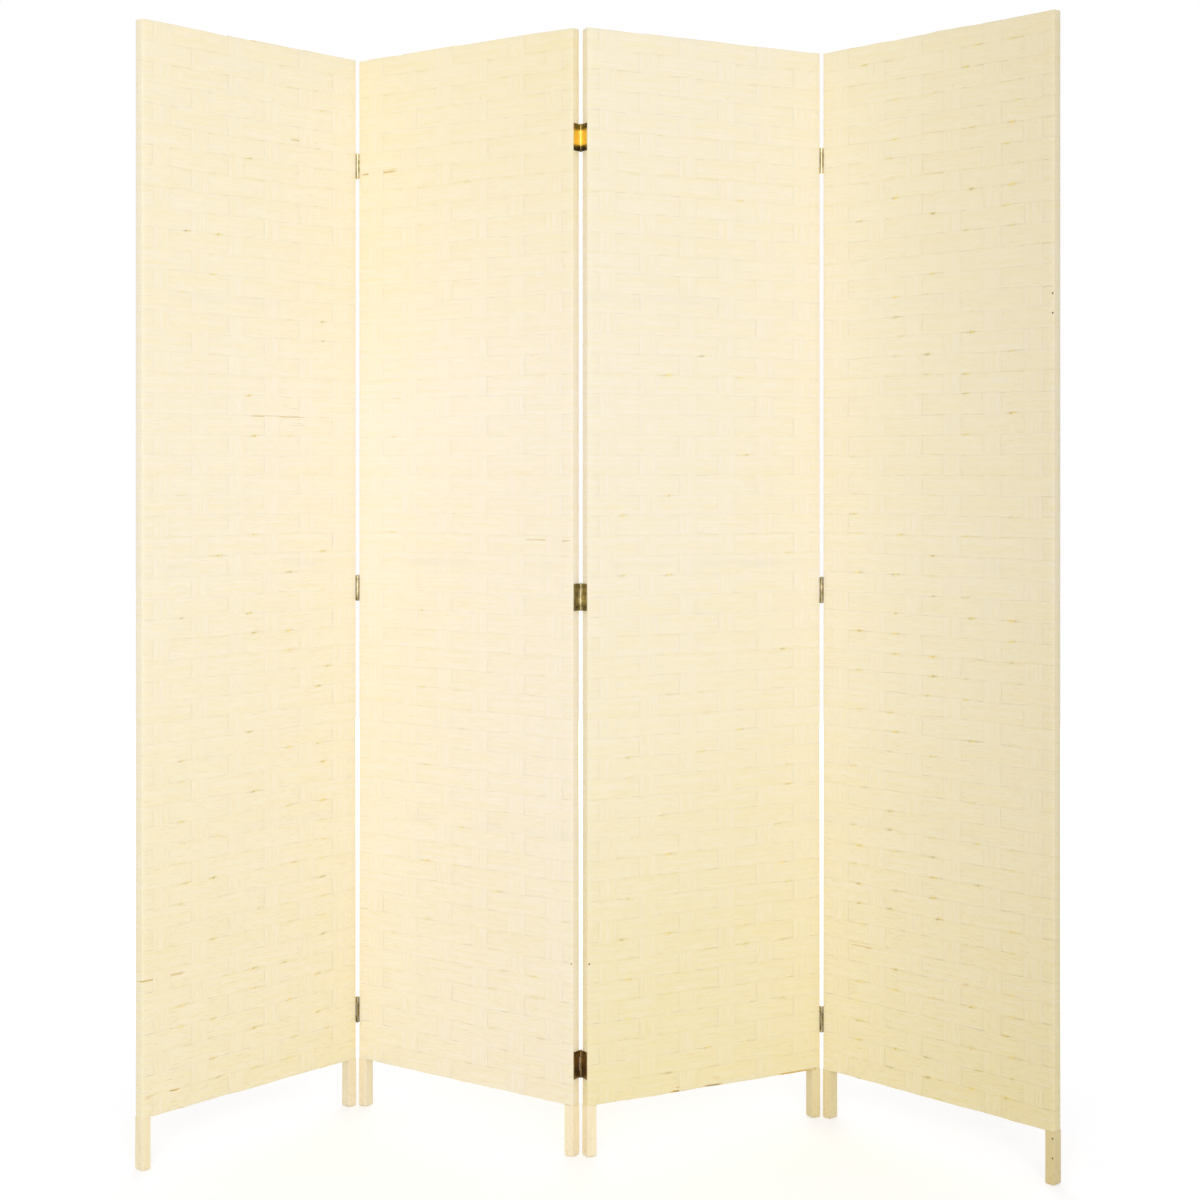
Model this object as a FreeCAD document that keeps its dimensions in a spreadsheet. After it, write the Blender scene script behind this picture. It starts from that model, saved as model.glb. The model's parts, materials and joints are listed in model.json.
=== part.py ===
import FreeCAD, Part
import math
import os
import Sketcher

# Folding screen of four woven panels
# Each panel has a plan frame of its own: X along its width from the left edge, Y from its front face to its back,
# Z up from the floor. The whole screen stands with the middle of its outline at the origin, front towards -Y.

doc = FreeCAD.newDocument("woven_folding_screen")

# Driving dimensions, in millimetres and degrees

SIZES = (
    ("panel_height", 1785, "floor to top edge"),
    ("panel_width", 445, "over the legs"),
    ("panel_thickness", 19, "of the legs, front to back"),
    ("leg_height", 81, "floor to the underside of the weave"),
    ("stile_width", 16, "of a leg, across the panel"),
    ("leg_edge_round", 0.8, "radius on the upright edges of a leg"),
    ("leg_foot_chamfer", 1.5, "on the end of a leg"),
    ("weave_thickness", 1.6, "wall of the woven cover"),
    ("weave_setback", 0.3, "of the weave's faces behind the leg's faces"),
    ("weave_clearance", 0.1, "between the weave and the frame inside it"),
    ("weave_corner_round", 1.4, "radius where the weave turns a corner"),
    ("rail_height", 20, "of every rail"),
    ("tenon_length", 7, "of a rail's stub tenon"),
    ("tenon_thickness", 6, "of a rail's stub tenon"),
    ("tenon_shoulder", 3, "above and below a tenon"),
    ("tenon_fit", 0.1, "round a tenon in its mortise"),
    ("hinge_top_drop", 180, "top edge of the panel to the middle of an outer fold's top hinge"),
    ("hinge_foot_rise", 83, "underside of the weave to the middle of an outer fold's bottom hinge"),
    ("centre_hinge_top_drop", 172, "top edge of the panel to the middle of the centre fold's top hinge"),
    ("centre_hinge_foot_rise", 63, "underside of the weave to the middle of the centre fold's bottom hinge"),
    ("leaf_height", 43, "of a hinge"),
    ("leaf_reach", 17, "hinge axis to the free edge of a leaf"),
    ("leaf_thickness", 1.0, "of the hinge's sheet brass"),
    ("fold_offset", 1.0, "of the hinge axis outside the legs' faces"),
    ("knuckle_radius", 2.0, "outside of the barrel"),
    ("knuckle_length", 21.5, "of the middle knuckle, with its two running gaps"),
    ("knuckle_gap", 0.2, "between two knuckles, along the axis"),
    ("knuckle_relief", 0.3, "between a leaf and the other leaf's knuckle"),
    ("pin_radius", 1.0, "of the hinge pin"),
    ("pin_fit", 0.05, "round the pin in its knuckles"),
    ("pin_head_radius", 1.7, "of the pin's button heads"),
    ("pin_head_height", 1.0, "of the pin's button heads"),
    ("pin_head_round", 0.7, "radius on a button head"),
    ("screw_spread", 31, "between the two screws of a leaf"),
    ("screw_reach", 9.5, "hinge axis to the line of the screws"),
    ("screw_length", 11, "from the face of the head to the point"),
    ("screw_shank_radius", 1.2, "of a screw"),
    ("screw_head_radius", 2.3, "of a screw's countersunk head"),
    ("screw_point_length", 2, "of the tapered end of a screw"),
    ("screw_fit", 0.05, "round a screw in its holes"),
    ("turn_panel_1", 47, "swing of the first panel from the line of the screen"),
    ("turn_panel_2", -36, "swing of the second panel"),
    ("turn_panel_3", 27, "swing of the third panel"),
    ("turn_panel_4", -47, "swing of the fourth panel"),
)

sheet = doc.addObject("Spreadsheet::Sheet", "Sizes")
for row, (alias, value, meaning) in enumerate(SIZES, start=1):
    sheet.set(f"A{row}", alias)
    sheet.set(f"B{row}", str(value))
    sheet.set(f"C{row}", meaning)
    sheet.setAlias(f"B{row}", alias)
doc.recompute()


def amount(rule):
    """Number that a rule such as 'Sizes.panel_width / 2' gives now."""
    return float(sheet.evalExpression(rule))


# Rules that several pieces share

PANEL_COUNT = 4
UP = FreeCAD.Vector(0, 0, 1)
WEAVE_INNER = "(Sizes.weave_setback + Sizes.weave_thickness)"
FRAME_INSET = f"({WEAVE_INNER} + Sizes.weave_clearance)"
FRAME_TOP = "(Sizes.panel_height - Sizes.weave_thickness - Sizes.weave_clearance)"
WEAVE_HEIGHT = "(Sizes.panel_height - Sizes.leg_height)"
RAIL_DEPTH = f"(Sizes.panel_thickness - 2 * {FRAME_INSET})"
RAIL_LENGTH = "(Sizes.panel_width - 2 * Sizes.stile_width)"
TENON_HEIGHT = "(Sizes.rail_height - 2 * Sizes.tenon_shoulder)"
BORE_RADIUS = "(Sizes.pin_radius + Sizes.pin_fit)"
SCREW_HOLE_RADIUS = "(Sizes.screw_shank_radius + Sizes.screw_fit)"
# Depth of the screw line behind the legs' face on the barrel side
SCREW_DEPTH = "(Sizes.screw_reach - Sizes.fold_offset)"

BOTTOM_RAIL_BASE = "(Sizes.leg_height + Sizes.weave_thickness + Sizes.weave_clearance)"
TOP_RAIL_BASE = f"({FRAME_TOP} - Sizes.rail_height)"
# The middle rails share the woven height out evenly
MIDDLE_RAIL_COUNT = 3
MIDDLE_RAIL_BASES = [
    f"(Sizes.leg_height + {WEAVE_HEIGHT} * {count} / {MIDDLE_RAIL_COUNT + 1} - Sizes.rail_height / 2)"
    for count in range(1, MIDDLE_RAIL_COUNT + 1)
]
RAIL_BASES = [BOTTOM_RAIL_BASE, *MIDDLE_RAIL_BASES, TOP_RAIL_BASE]

# All middle hinges are level. The centre fold is the one with its barrels on the back, and its top and bottom hinges
# sit nearer to the ends of the panels than those of the outer folds.
HINGE_MIDDLE = "((Sizes.panel_height - Sizes.hinge_top_drop + Sizes.leg_height + Sizes.hinge_foot_rise) / 2)"
HINGE_HEIGHTS = {
    barrel_side: {
        "top": f"(Sizes.panel_height - Sizes.{prefix}hinge_top_drop)",
        "middle": HINGE_MIDDLE,
        "bottom": f"(Sizes.leg_height + Sizes.{prefix}hinge_foot_rise)",
    }
    for barrel_side, prefix in (("front", ""), ("back", "centre_"))
}
SCREW_HEIGHTS = {
    barrel_side: [f"({height} {sign} Sizes.screw_spread / 2)" for height in heights.values() for sign in ("-", "+")]
    for barrel_side, heights in HINGE_HEIGHTS.items()
}


# Sketch and feature helpers


def new_body(label):
    """Empty body with the sub-part's name."""
    body = doc.addObject("PartDesign::Body", label)
    body.Label = label
    return body


def new_sketch(body, role, offset="0"):
    """Sketch on one of the body's own planes, moved along the plane's normal by a rule."""
    plane = next(feature for feature in body.Origin.OriginFeatures if feature.Role == role)
    sketch = body.newObject("Sketcher::SketchObject", f"{body.Name}_sketch")
    sketch.AttachmentSupport = [(plane, "")]
    sketch.MapMode = "FlatFace"
    sketch.setExpression("AttachmentOffset.Base.z", offset)
    return sketch


def dimension(sketch, kind, places, rule):
    """Sketch dimension of the given kind that follows a rule."""
    index = sketch.addConstraint(Sketcher.Constraint(kind, *places, amount(rule)))
    sketch.setExpression(f"Constraints[{index}]", rule)


ORIGIN_POINT = (-1, 1)
START, END, CENTRE = range(1, 4)


def rectangle(sketch, left, base, width, height):
    """Rectangle whose lower left corner and sides follow rules."""
    first = sketch.GeometryCount
    x, y = amount(left), amount(base)
    far_x, far_y = x + amount(width), y + amount(height)
    corners = [FreeCAD.Vector(*point, 0) for point in ((x, y), (far_x, y), (far_x, far_y), (x, far_y))]
    sides = [Part.LineSegment(corners[i], corners[(i + 1) % 4]) for i in range(4)]
    sketch.addGeometry(sides, False)
    bottom, right, top, left_side = range(first, first + 4)
    for side, following in ((bottom, right), (right, top), (top, left_side), (left_side, bottom)):
        sketch.addConstraint(Sketcher.Constraint("Coincident", side, END, following, START))
    for side in (bottom, top):
        sketch.addConstraint(Sketcher.Constraint("Horizontal", side))
    for side in (right, left_side):
        sketch.addConstraint(Sketcher.Constraint("Vertical", side))
    dimension(sketch, "DistanceX", (*ORIGIN_POINT, bottom, START), left)
    dimension(sketch, "DistanceY", (*ORIGIN_POINT, bottom, START), base)
    dimension(sketch, "DistanceX", (bottom, START, bottom, END), width)
    dimension(sketch, "DistanceY", (right, START, right, END), height)


def circle(sketch, across, along, radius):
    """Circle whose centre and radius follow rules."""
    centre = FreeCAD.Vector(amount(across), amount(along), 0)
    index = sketch.addGeometry(Part.Circle(centre, UP, amount(radius)), False)
    dimension(sketch, "DistanceX", (*ORIGIN_POINT, index, CENTRE), across)
    dimension(sketch, "DistanceY", (*ORIGIN_POINT, index, CENTRE), along)
    dimension(sketch, "Radius", (index,), radius)


def pad(body, sketch, length):
    """Adds the sketch's section along its plane's normal."""
    feature = body.newObject("PartDesign::Pad", f"{body.Name}_pad")
    feature.Profile = sketch
    feature.setExpression("Length", length)


def pocket(body, sketch, length, along_normal=False):
    """Cuts the sketch's section, against its plane's normal unless told otherwise."""
    doc.recompute()
    before = body.Shape.Volume
    feature = body.newObject("PartDesign::Pocket", f"{body.Name}_pocket")
    feature.Profile = sketch
    feature.Reversed = along_normal
    feature.setExpression("Length", length)
    doc.recompute()
    if not body.Shape.Volume < before:
        raise RuntimeError(f"a pocket of {body.Label} cuts nothing")


def edges_where(body, test):
    """Names of the edges of the body's last feature that pass a test."""
    doc.recompute()
    edges = body.Tip.Shape.Edges
    return [f"Edge{number}" for number, edge in enumerate(edges, start=1) if test(edge)]


def dress(body, kind, edge_names, size_name, rule):
    """Fillet or chamfer on the named edges of the body's last feature."""
    feature = body.newObject(f"PartDesign::{kind}", f"{body.Name}_{kind.lower()}")
    feature.Base = (body.Group[-2], edge_names)
    feature.setExpression(size_name, rule)


NEAR = 1e-4


def is_upright(edge):
    """True for a straight edge along Z."""
    first, last = edge.Vertexes[0].Point, edge.Vertexes[-1].Point
    return math.hypot(first.x - last.x, first.y - last.y) < NEAR and abs(first.z - last.z) > NEAR


def is_level_at(edge, height):
    """True for an edge that lies flat at a height."""
    return all(abs(vertex.Z - height) < NEAR for vertex in edge.Vertexes)


# Where the panels stand
# A hinge axis lies beside the woven edge by the barrel's radius, and outside the legs' face by the fold offset.

turns = [amount(f"Sizes.turn_panel_{number}") for number in range(1, PANEL_COUNT + 1)]
rotations = [FreeCAD.Rotation(UP, turn) for turn in turns]
LEFT_AXIS_X = "(Sizes.weave_setback - Sizes.knuckle_radius)"
RIGHT_AXIS_X = f"(Sizes.panel_width - {LEFT_AXIS_X})"
FRONT_AXIS_Y = "(-Sizes.fold_offset)"
BACK_AXIS_Y = "(Sizes.panel_thickness + Sizes.fold_offset)"
BARREL_SIDES = ("front", "back", "front")


def axis_in_panel(edge, side):
    """Place of a hinge axis in the plan frame of the panel that it edges."""
    across = LEFT_AXIS_X if edge == "left" else RIGHT_AXIS_X
    depth = FRONT_AXIS_Y if side == "front" else BACK_AXIS_Y
    return FreeCAD.Vector(amount(across), amount(depth), 0)


bases = [FreeCAD.Vector(0, 0, 0)]
for number, side in enumerate(BARREL_SIDES):
    axis = bases[number] + rotations[number].multVec(axis_in_panel("right", side))
    bases.append(axis - rotations[number + 1].multVec(axis_in_panel("left", side)))

outline = Part.makeCompound([])
for base, rotation in zip(bases, rotations):
    plan = Part.makePlane(amount("Sizes.panel_width"), amount("Sizes.panel_thickness"))
    plan.Placement = FreeCAD.Placement(base, rotation)
    outline.add(plan)
middle = outline.BoundBox.Center
panel_places = [FreeCAD.Placement(base - middle, rotation) for base, rotation in zip(bases, rotations)]


def local_place(x, y, z=0, turn=0, about=UP):
    """Place of a piece in its panel's plan frame."""
    return FreeCAD.Placement(FreeCAD.Vector(x, y, z), FreeCAD.Rotation(about, turn))


# Stiles
# Square wooden bars, drawn with the outer edge at x = 0. The face at y = 0 is the front of a left stile and the back
# of a right one, which is a left one turned half round.


def stile(label, drawn_face, barrel_side):
    """Leg below, reduced section above for the weave, mortises on the inner face, pilot holes on a hinged outer."""
    body = new_body(label)
    leg = new_sketch(body, "XY_Plane")
    rectangle(leg, "0", "0", "Sizes.stile_width", "Sizes.panel_thickness")
    pad(body, leg, "Sizes.leg_height")
    foot_edges = edges_where(body, lambda edge: is_level_at(edge, 0))
    dress(body, "Chamfer", foot_edges, "Size", "Sizes.leg_foot_chamfer")
    upright_edges = edges_where(body, is_upright)
    dress(body, "Fillet", upright_edges, "Radius", "Sizes.leg_edge_round")

    bar = new_sketch(body, "XY_Plane", "Sizes.leg_height")
    rectangle(bar, FRAME_INSET, FRAME_INSET, f"Sizes.stile_width - {FRAME_INSET}", RAIL_DEPTH)
    pad(body, bar, f"{FRAME_TOP} - Sizes.leg_height")

    mortises = new_sketch(body, "YZ_Plane", "Sizes.stile_width")
    for base in RAIL_BASES:
        rectangle(
            mortises,
            "(Sizes.panel_thickness - Sizes.tenon_thickness) / 2 - Sizes.tenon_fit",
            f"{base} + Sizes.tenon_shoulder - Sizes.tenon_fit",
            "Sizes.tenon_thickness + 2 * Sizes.tenon_fit",
            f"{TENON_HEIGHT} + 2 * Sizes.tenon_fit",
        )
    pocket(body, mortises, "Sizes.tenon_length + Sizes.tenon_fit")

    if barrel_side:
        pilots = new_sketch(body, "YZ_Plane", FRAME_INSET)
        across = SCREW_DEPTH if barrel_side == drawn_face else f"(Sizes.panel_thickness - {SCREW_DEPTH})"
        for height in SCREW_HEIGHTS[barrel_side]:
            circle(pilots, across, height, SCREW_HOLE_RADIUS)
        in_weave = f"(Sizes.leaf_thickness + {FRAME_INSET} - Sizes.weave_setback)"
        pocket(body, pilots, f"Sizes.screw_length - {in_weave} + Sizes.screw_fit", along_normal=True)
    return body


# Rails
# Bars between the stiles, drawn along X from the left stile's inner face, with a stub tenon at each end.


def rail(label, base):
    """Rail whose underside follows a rule."""
    body = new_body(label)
    bar = new_sketch(body, "YZ_Plane")
    rectangle(bar, FRAME_INSET, base, RAIL_DEPTH, "Sizes.rail_height")
    pad(body, bar, RAIL_LENGTH)
    tenon = new_sketch(body, "YZ_Plane", "-Sizes.tenon_length")
    rectangle(
        tenon,
        "(Sizes.panel_thickness - Sizes.tenon_thickness) / 2",
        f"{base} + Sizes.tenon_shoulder",
        "Sizes.tenon_thickness",
        TENON_HEIGHT,
    )
    pad(body, tenon, f"{RAIL_LENGTH} + 2 * Sizes.tenon_length")
    return body


# Woven cover
# One sleeve of woven paper round the frame, open below only where the two legs come out of it.


def woven_cover(label, screw_edges):
    """Rounded sleeve with the frame's space inside, and the screws' holes in its hinged edges."""
    body = new_body(label)
    outside = new_sketch(body, "XY_Plane", "Sizes.leg_height")
    rectangle(
        outside,
        "Sizes.weave_setback",
        "Sizes.weave_setback",
        "Sizes.panel_width - 2 * Sizes.weave_setback",
        "Sizes.panel_thickness - 2 * Sizes.weave_setback",
    )
    pad(body, outside, WEAVE_HEIGHT)
    top = amount("Sizes.panel_height")
    corners = edges_where(body, lambda edge: is_upright(edge) or is_level_at(edge, top))
    dress(body, "Fillet", corners, "Radius", "Sizes.weave_corner_round")

    inside = new_sketch(body, "XY_Plane", "Sizes.panel_height - Sizes.weave_thickness")
    depth = f"Sizes.panel_thickness - 2 * {WEAVE_INNER}"
    rectangle(inside, WEAVE_INNER, WEAVE_INNER, f"Sizes.panel_width - 2 * {WEAVE_INNER}", depth)
    pocket(body, inside, f"{WEAVE_HEIGHT} - 2 * Sizes.weave_thickness")

    leg_gaps = new_sketch(body, "XY_Plane", "Sizes.leg_height + Sizes.weave_thickness")
    gap_width = f"(Sizes.stile_width + Sizes.weave_clearance - {WEAVE_INNER})"
    for left in (WEAVE_INNER, f"Sizes.panel_width - {WEAVE_INNER} - {gap_width}"):
        rectangle(leg_gaps, left, WEAVE_INNER, gap_width, depth)
    pocket(body, leg_gaps, "Sizes.weave_thickness")

    faces = {"left": "Sizes.weave_setback", "right": "Sizes.panel_width - Sizes.weave_setback"}
    for edge, side in screw_edges:
        holes = new_sketch(body, "YZ_Plane", faces[edge])
        across = SCREW_DEPTH if side == "front" else f"(Sizes.panel_thickness - {SCREW_DEPTH})"
        for height in SCREW_HEIGHTS[side]:
            circle(holes, across, height, SCREW_HOLE_RADIUS)
        pocket(body, holes, "Sizes.weave_thickness", along_normal=edge == "left")
    return body


# Hinges
# Butt hinges, drawn with the pin's axis on Z, the middle of the hinge at z = 0 and the panel towards +X and +Y.
# Each leaf is sheet brass rolled round the pin, tangent to the woven edge that it lies on.

LEAF_FOOT = "(-Sizes.leaf_height / 2)"
END_KNUCKLE = "(Sizes.leaf_height - Sizes.knuckle_length - Sizes.knuckle_gap) / 2"
MIDDLE_KNUCKLE = "(Sizes.knuckle_length - Sizes.knuckle_gap)"
KNUCKLES = {
    "end": ((LEAF_FOOT, END_KNUCKLE), (f"Sizes.leaf_height / 2 - {END_KNUCKLE}", END_KNUCKLE)),
    "middle": ((f"-{MIDDLE_KNUCKLE} / 2", MIDDLE_KNUCKLE),),
}
LEAF_FACE = "(Sizes.knuckle_radius - Sizes.leaf_thickness)"
# A screw's head tapers to its shank within the thickness of the leaf
HEAD_TAPER = "(Sizes.screw_head_radius - Sizes.screw_shank_radius)"
HEAD_ANGLE = f"2 * atan({HEAD_TAPER} / Sizes.leaf_thickness)"


def rolled_section(sketch):
    """Leaf and knuckle in plan: a strip that runs on tangent into the round of the barrel."""
    radius = amount("Sizes.knuckle_radius")
    inner_x = amount(LEAF_FACE)
    reach = amount("Sizes.leaf_reach")
    meeting_angle = math.acos(inner_x / radius)
    meeting = FreeCAD.Vector(inner_x, radius * math.sin(meeting_angle), 0)
    tangent = FreeCAD.Vector(radius, 0, 0)
    outer_tip = FreeCAD.Vector(radius, reach, 0)
    inner_tip = FreeCAD.Vector(inner_x, reach, 0)
    barrel = Part.ArcOfCircle(Part.Circle(FreeCAD.Vector(), UP, radius), meeting_angle, 2 * math.pi)
    lines = (
        Part.LineSegment(tangent, outer_tip),
        Part.LineSegment(outer_tip, inner_tip),
        Part.LineSegment(inner_tip, meeting),
    )
    sketch.addGeometry([*lines, barrel], False)
    seat_side, tip, open_side, arc = range(4)
    for side, following in ((seat_side, tip), (tip, open_side), (open_side, arc), (arc, seat_side)):
        sketch.addConstraint(Sketcher.Constraint("Coincident", side, END, following, START))
    sketch.addConstraint(Sketcher.Constraint("Coincident", arc, CENTRE, *ORIGIN_POINT))
    sketch.addConstraint(Sketcher.Constraint("PointOnObject", seat_side, START, ORIGIN_POINT[0]))
    sketch.addConstraint(Sketcher.Constraint("Vertical", seat_side))
    sketch.addConstraint(Sketcher.Constraint("Vertical", open_side))
    sketch.addConstraint(Sketcher.Constraint("Horizontal", tip))
    dimension(sketch, "Radius", (arc,), "Sizes.knuckle_radius")
    dimension(sketch, "DistanceX", (tip, END, tip, START), "Sizes.leaf_thickness")
    dimension(sketch, "DistanceY", (*ORIGIN_POINT, tip, START), "Sizes.leaf_reach")


def hinge_leaf(label, knuckles):
    """Leaf with its own knuckles, relieved round the other leaf's, bored for the pin and countersunk."""
    body = new_body(label)
    plate = new_sketch(body, "XY_Plane", LEAF_FOOT)
    relief = "(Sizes.knuckle_radius + Sizes.knuckle_relief)"
    rectangle(plate, LEAF_FACE, relief, "Sizes.leaf_thickness", f"Sizes.leaf_reach - {relief}")
    pad(body, plate, "Sizes.leaf_height")
    for base, length in KNUCKLES[knuckles]:
        roll = new_sketch(body, "XY_Plane", base)
        rolled_section(roll)
        pad(body, roll, length)
    bore = new_sketch(body, "XY_Plane", "Sizes.leaf_height / 2")
    circle(bore, "0", "0", BORE_RADIUS)
    pocket(body, bore, "Sizes.leaf_height")

    centres = new_sketch(body, "YZ_Plane", LEAF_FACE)
    for side in ("-", ""):
        circle(centres, "Sizes.screw_reach", f"{side}Sizes.screw_spread / 2", SCREW_HOLE_RADIUS)
    doc.recompute()
    before = body.Shape.Volume
    hole = body.newObject("PartDesign::Hole", f"{body.Name}_hole")
    hole.Profile = centres
    doc.recompute()
    hole.ThreadType = "None"
    hole.DepthType = "ThroughAll"
    hole.HoleCutType = "Countersink"
    hole.HoleCutCustomValues = True
    hole.Reversed = True
    hole.setExpression("Diameter", f"2 * {SCREW_HOLE_RADIUS}")
    hole.setExpression("HoleCutDiameter", "2 * (Sizes.screw_head_radius + Sizes.screw_fit)")
    hole.setExpression("HoleCutCountersinkAngle", HEAD_ANGLE)
    doc.recompute()
    if not body.Shape.Volume < before:
        raise RuntimeError(f"the screw holes of {label} cut nothing")
    return body


def revolved(label, points):
    """Solid of revolution about Z from corner points (radius rule, height rule), the first and last on the axis."""
    body = new_body(label)
    sketch = new_sketch(body, "XZ_Plane")
    corners = [FreeCAD.Vector(amount(radius), amount(height), 0) for radius, height in points]
    count = len(corners)
    sides = [Part.LineSegment(corners[i], corners[(i + 1) % count]) for i in range(count)]
    sketch.addGeometry(sides, False)
    for side, (radius, height) in enumerate(points):
        sketch.addConstraint(Sketcher.Constraint("Coincident", side, END, (side + 1) % count, START))
        dimension(sketch, "DistanceX", (*ORIGIN_POINT, side, START), radius)
        dimension(sketch, "DistanceY", (*ORIGIN_POINT, side, START), height)
    turn = body.newObject("PartDesign::Revolution", f"{body.Name}_revolution")
    turn.Profile = sketch
    turn.ReferenceAxis = (sketch, ["V_Axis"])
    turn.Angle = 360
    return body


def hinge_pin(label):
    """Straight pin through all the knuckles, with a button head on each end."""
    end = "(Sizes.leaf_height / 2)"
    tip = f"({end} + Sizes.pin_head_height)"
    body = revolved(
        label,
        (
            ("0", f"-{tip}"),
            ("Sizes.pin_head_radius", f"-{tip}"),
            ("Sizes.pin_head_radius", f"-{end}"),
            ("Sizes.pin_radius", f"-{end}"),
            ("Sizes.pin_radius", end),
            ("Sizes.pin_head_radius", end),
            ("Sizes.pin_head_radius", tip),
            ("0", tip),
        ),
    )
    tip_height = amount(tip)
    rims = edges_where(body, lambda edge: is_level_at(edge, tip_height) or is_level_at(edge, -tip_height))
    dress(body, "Fillet", rims, "Radius", "Sizes.pin_head_round")
    return body


# Screws
# Countersunk wood screws, drawn with the face of the head at z = 0 and the point downwards.


def wood_screw(label):
    """Screw whose head fills the countersink of a leaf."""
    return revolved(
        label,
        (
            ("0", "0"),
            ("Sizes.screw_head_radius", "0"),
            ("Sizes.screw_shank_radius", "-Sizes.leaf_thickness"),
            ("Sizes.screw_shank_radius", "Sizes.screw_point_length - Sizes.screw_length"),
            ("0", "-Sizes.screw_length"),
        ),
    )


# Assembly

pieces = []


def seat(piece, panel, place):
    """Puts a piece in its panel and lists it for writing."""
    piece.Placement = panel_places[panel].multiply(place)
    pieces.append(piece)


panel_width = amount("Sizes.panel_width")
panel_thickness = amount("Sizes.panel_thickness")
rail_left = amount("Sizes.stile_width")

# Hinged edges of each panel, with the side that the barrels are on
hinged_edges = [[] for _ in range(PANEL_COUNT)]
for number, side in enumerate(BARREL_SIDES):
    hinged_edges[number].append(("right", side))
    hinged_edges[number + 1].append(("left", side))

for panel in range(PANEL_COUNT):
    name = f"panel_{panel + 1}"
    sides = dict(hinged_edges[panel])
    for edge, drawn_face in (("left", "front"), ("right", "back")):
        place = local_place(0, 0) if edge == "left" else local_place(panel_width, panel_thickness, turn=180)
        seat(stile(f"{name}_{edge}_stile", drawn_face, sides.get(edge)), panel, place)
    for label, base in (("top_rail", TOP_RAIL_BASE), ("bottom_rail", BOTTOM_RAIL_BASE)):
        seat(rail(f"{name}_{label}", base), panel, local_place(rail_left, 0))
    middle_rails = doc.addObject("Part::Compound", f"{name}_middle_rails")
    middle_rails.Label = f"{name}_middle_rails"
    middle_rails.Links = [
        rail(f"{name}_middle_rail_{count}", base) for count, base in enumerate(MIDDLE_RAIL_BASES, start=1)
    ]
    seat(middle_rails, panel, local_place(rail_left, 0))
    seat(woven_cover(f"{name}_woven_cover", hinged_edges[panel]), panel, local_place(0, 0))

screw = wood_screw("wood_screw")
doc.recompute()
# A leaf drawn for a left edge with a front barrel suits the other three cases by half turns
LEAF_TURNS = {
    ("left", "front"): (0, UP),
    ("right", "back"): (180, UP),
    ("right", "front"): (180, FreeCAD.Vector(0, 1, 0)),
    ("left", "back"): (180, FreeCAD.Vector(1, 0, 0)),
}
# A screw points along the leaf's +X
screw_in_leaf = FreeCAD.Rotation(FreeCAD.Vector(0, 1, 0), -90)
screw_spots = [
    FreeCAD.Vector(amount(LEAF_FACE), amount("Sizes.screw_reach"), sign * amount("Sizes.screw_spread") / 2)
    for sign in (-1, 1)
]

for fold, side in enumerate(BARREL_SIDES):
    name = f"fold_{fold + 1}_{fold + 2}"
    for panel, edge, knuckles in ((fold, "right", "end"), (fold + 1, "left", "middle")):
        axis = axis_in_panel(edge, side)
        leaf_edge = "left" if edge == "right" else "right"
        turn, about = LEAF_TURNS[edge, side]
        screws = []
        for level, height in HINGE_HEIGHTS[side].items():
            place = local_place(axis.x, axis.y, amount(height), turn, about)
            seat(hinge_leaf(f"{name}_{level}_hinge_{leaf_edge}_leaf", knuckles), panel, place)
            if knuckles == "end":
                seat(hinge_pin(f"{name}_{level}_hinge_pin"), panel, place)
            for spot in screw_spots:
                screws.append(screw.Shape.copy())
                screws[-1].Placement = place.multiply(FreeCAD.Placement(spot, screw_in_leaf))
        group = doc.addObject("Part::Feature", f"{name}_{leaf_edge}_leaf_screws")
        group.Label = f"{name}_{leaf_edge}_leaf_screws"
        group.Shape = Part.makeCompound(screws)
        seat(group, panel, FreeCAD.Placement())
doc.recompute()

# Checks and files

for thing in doc.Objects:
    if "Invalid" in thing.State or "Error" in thing.State:
        raise RuntimeError(f"{thing.Label} failed: {thing.State}")
for piece in pieces:
    if piece.Shape.isNull() or not piece.Shape.isValid():
        raise RuntimeError(f"{piece.Label} has no valid shape")

for fold, side in enumerate(BARREL_SIDES):
    axis = panel_places[fold].multVec(axis_in_panel("right", side))
    print(f"fold_{fold + 1}_{fold + 2} axis at {axis.x:.3f}, {axis.y:.3f}")
for panel, place in enumerate(panel_places, start=1):
    print(f"panel_{panel} origin at {place.Base.x:.3f}, {place.Base.y:.3f}")

os.makedirs("parts", exist_ok=True)
for piece in pieces:
    piece.Shape.exportStep(f"parts/{piece.Label}.step")
print(f"{len(pieces)} sub-parts written")
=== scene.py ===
import json
import math

import bpy
from mathutils import Matrix, Vector

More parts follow.
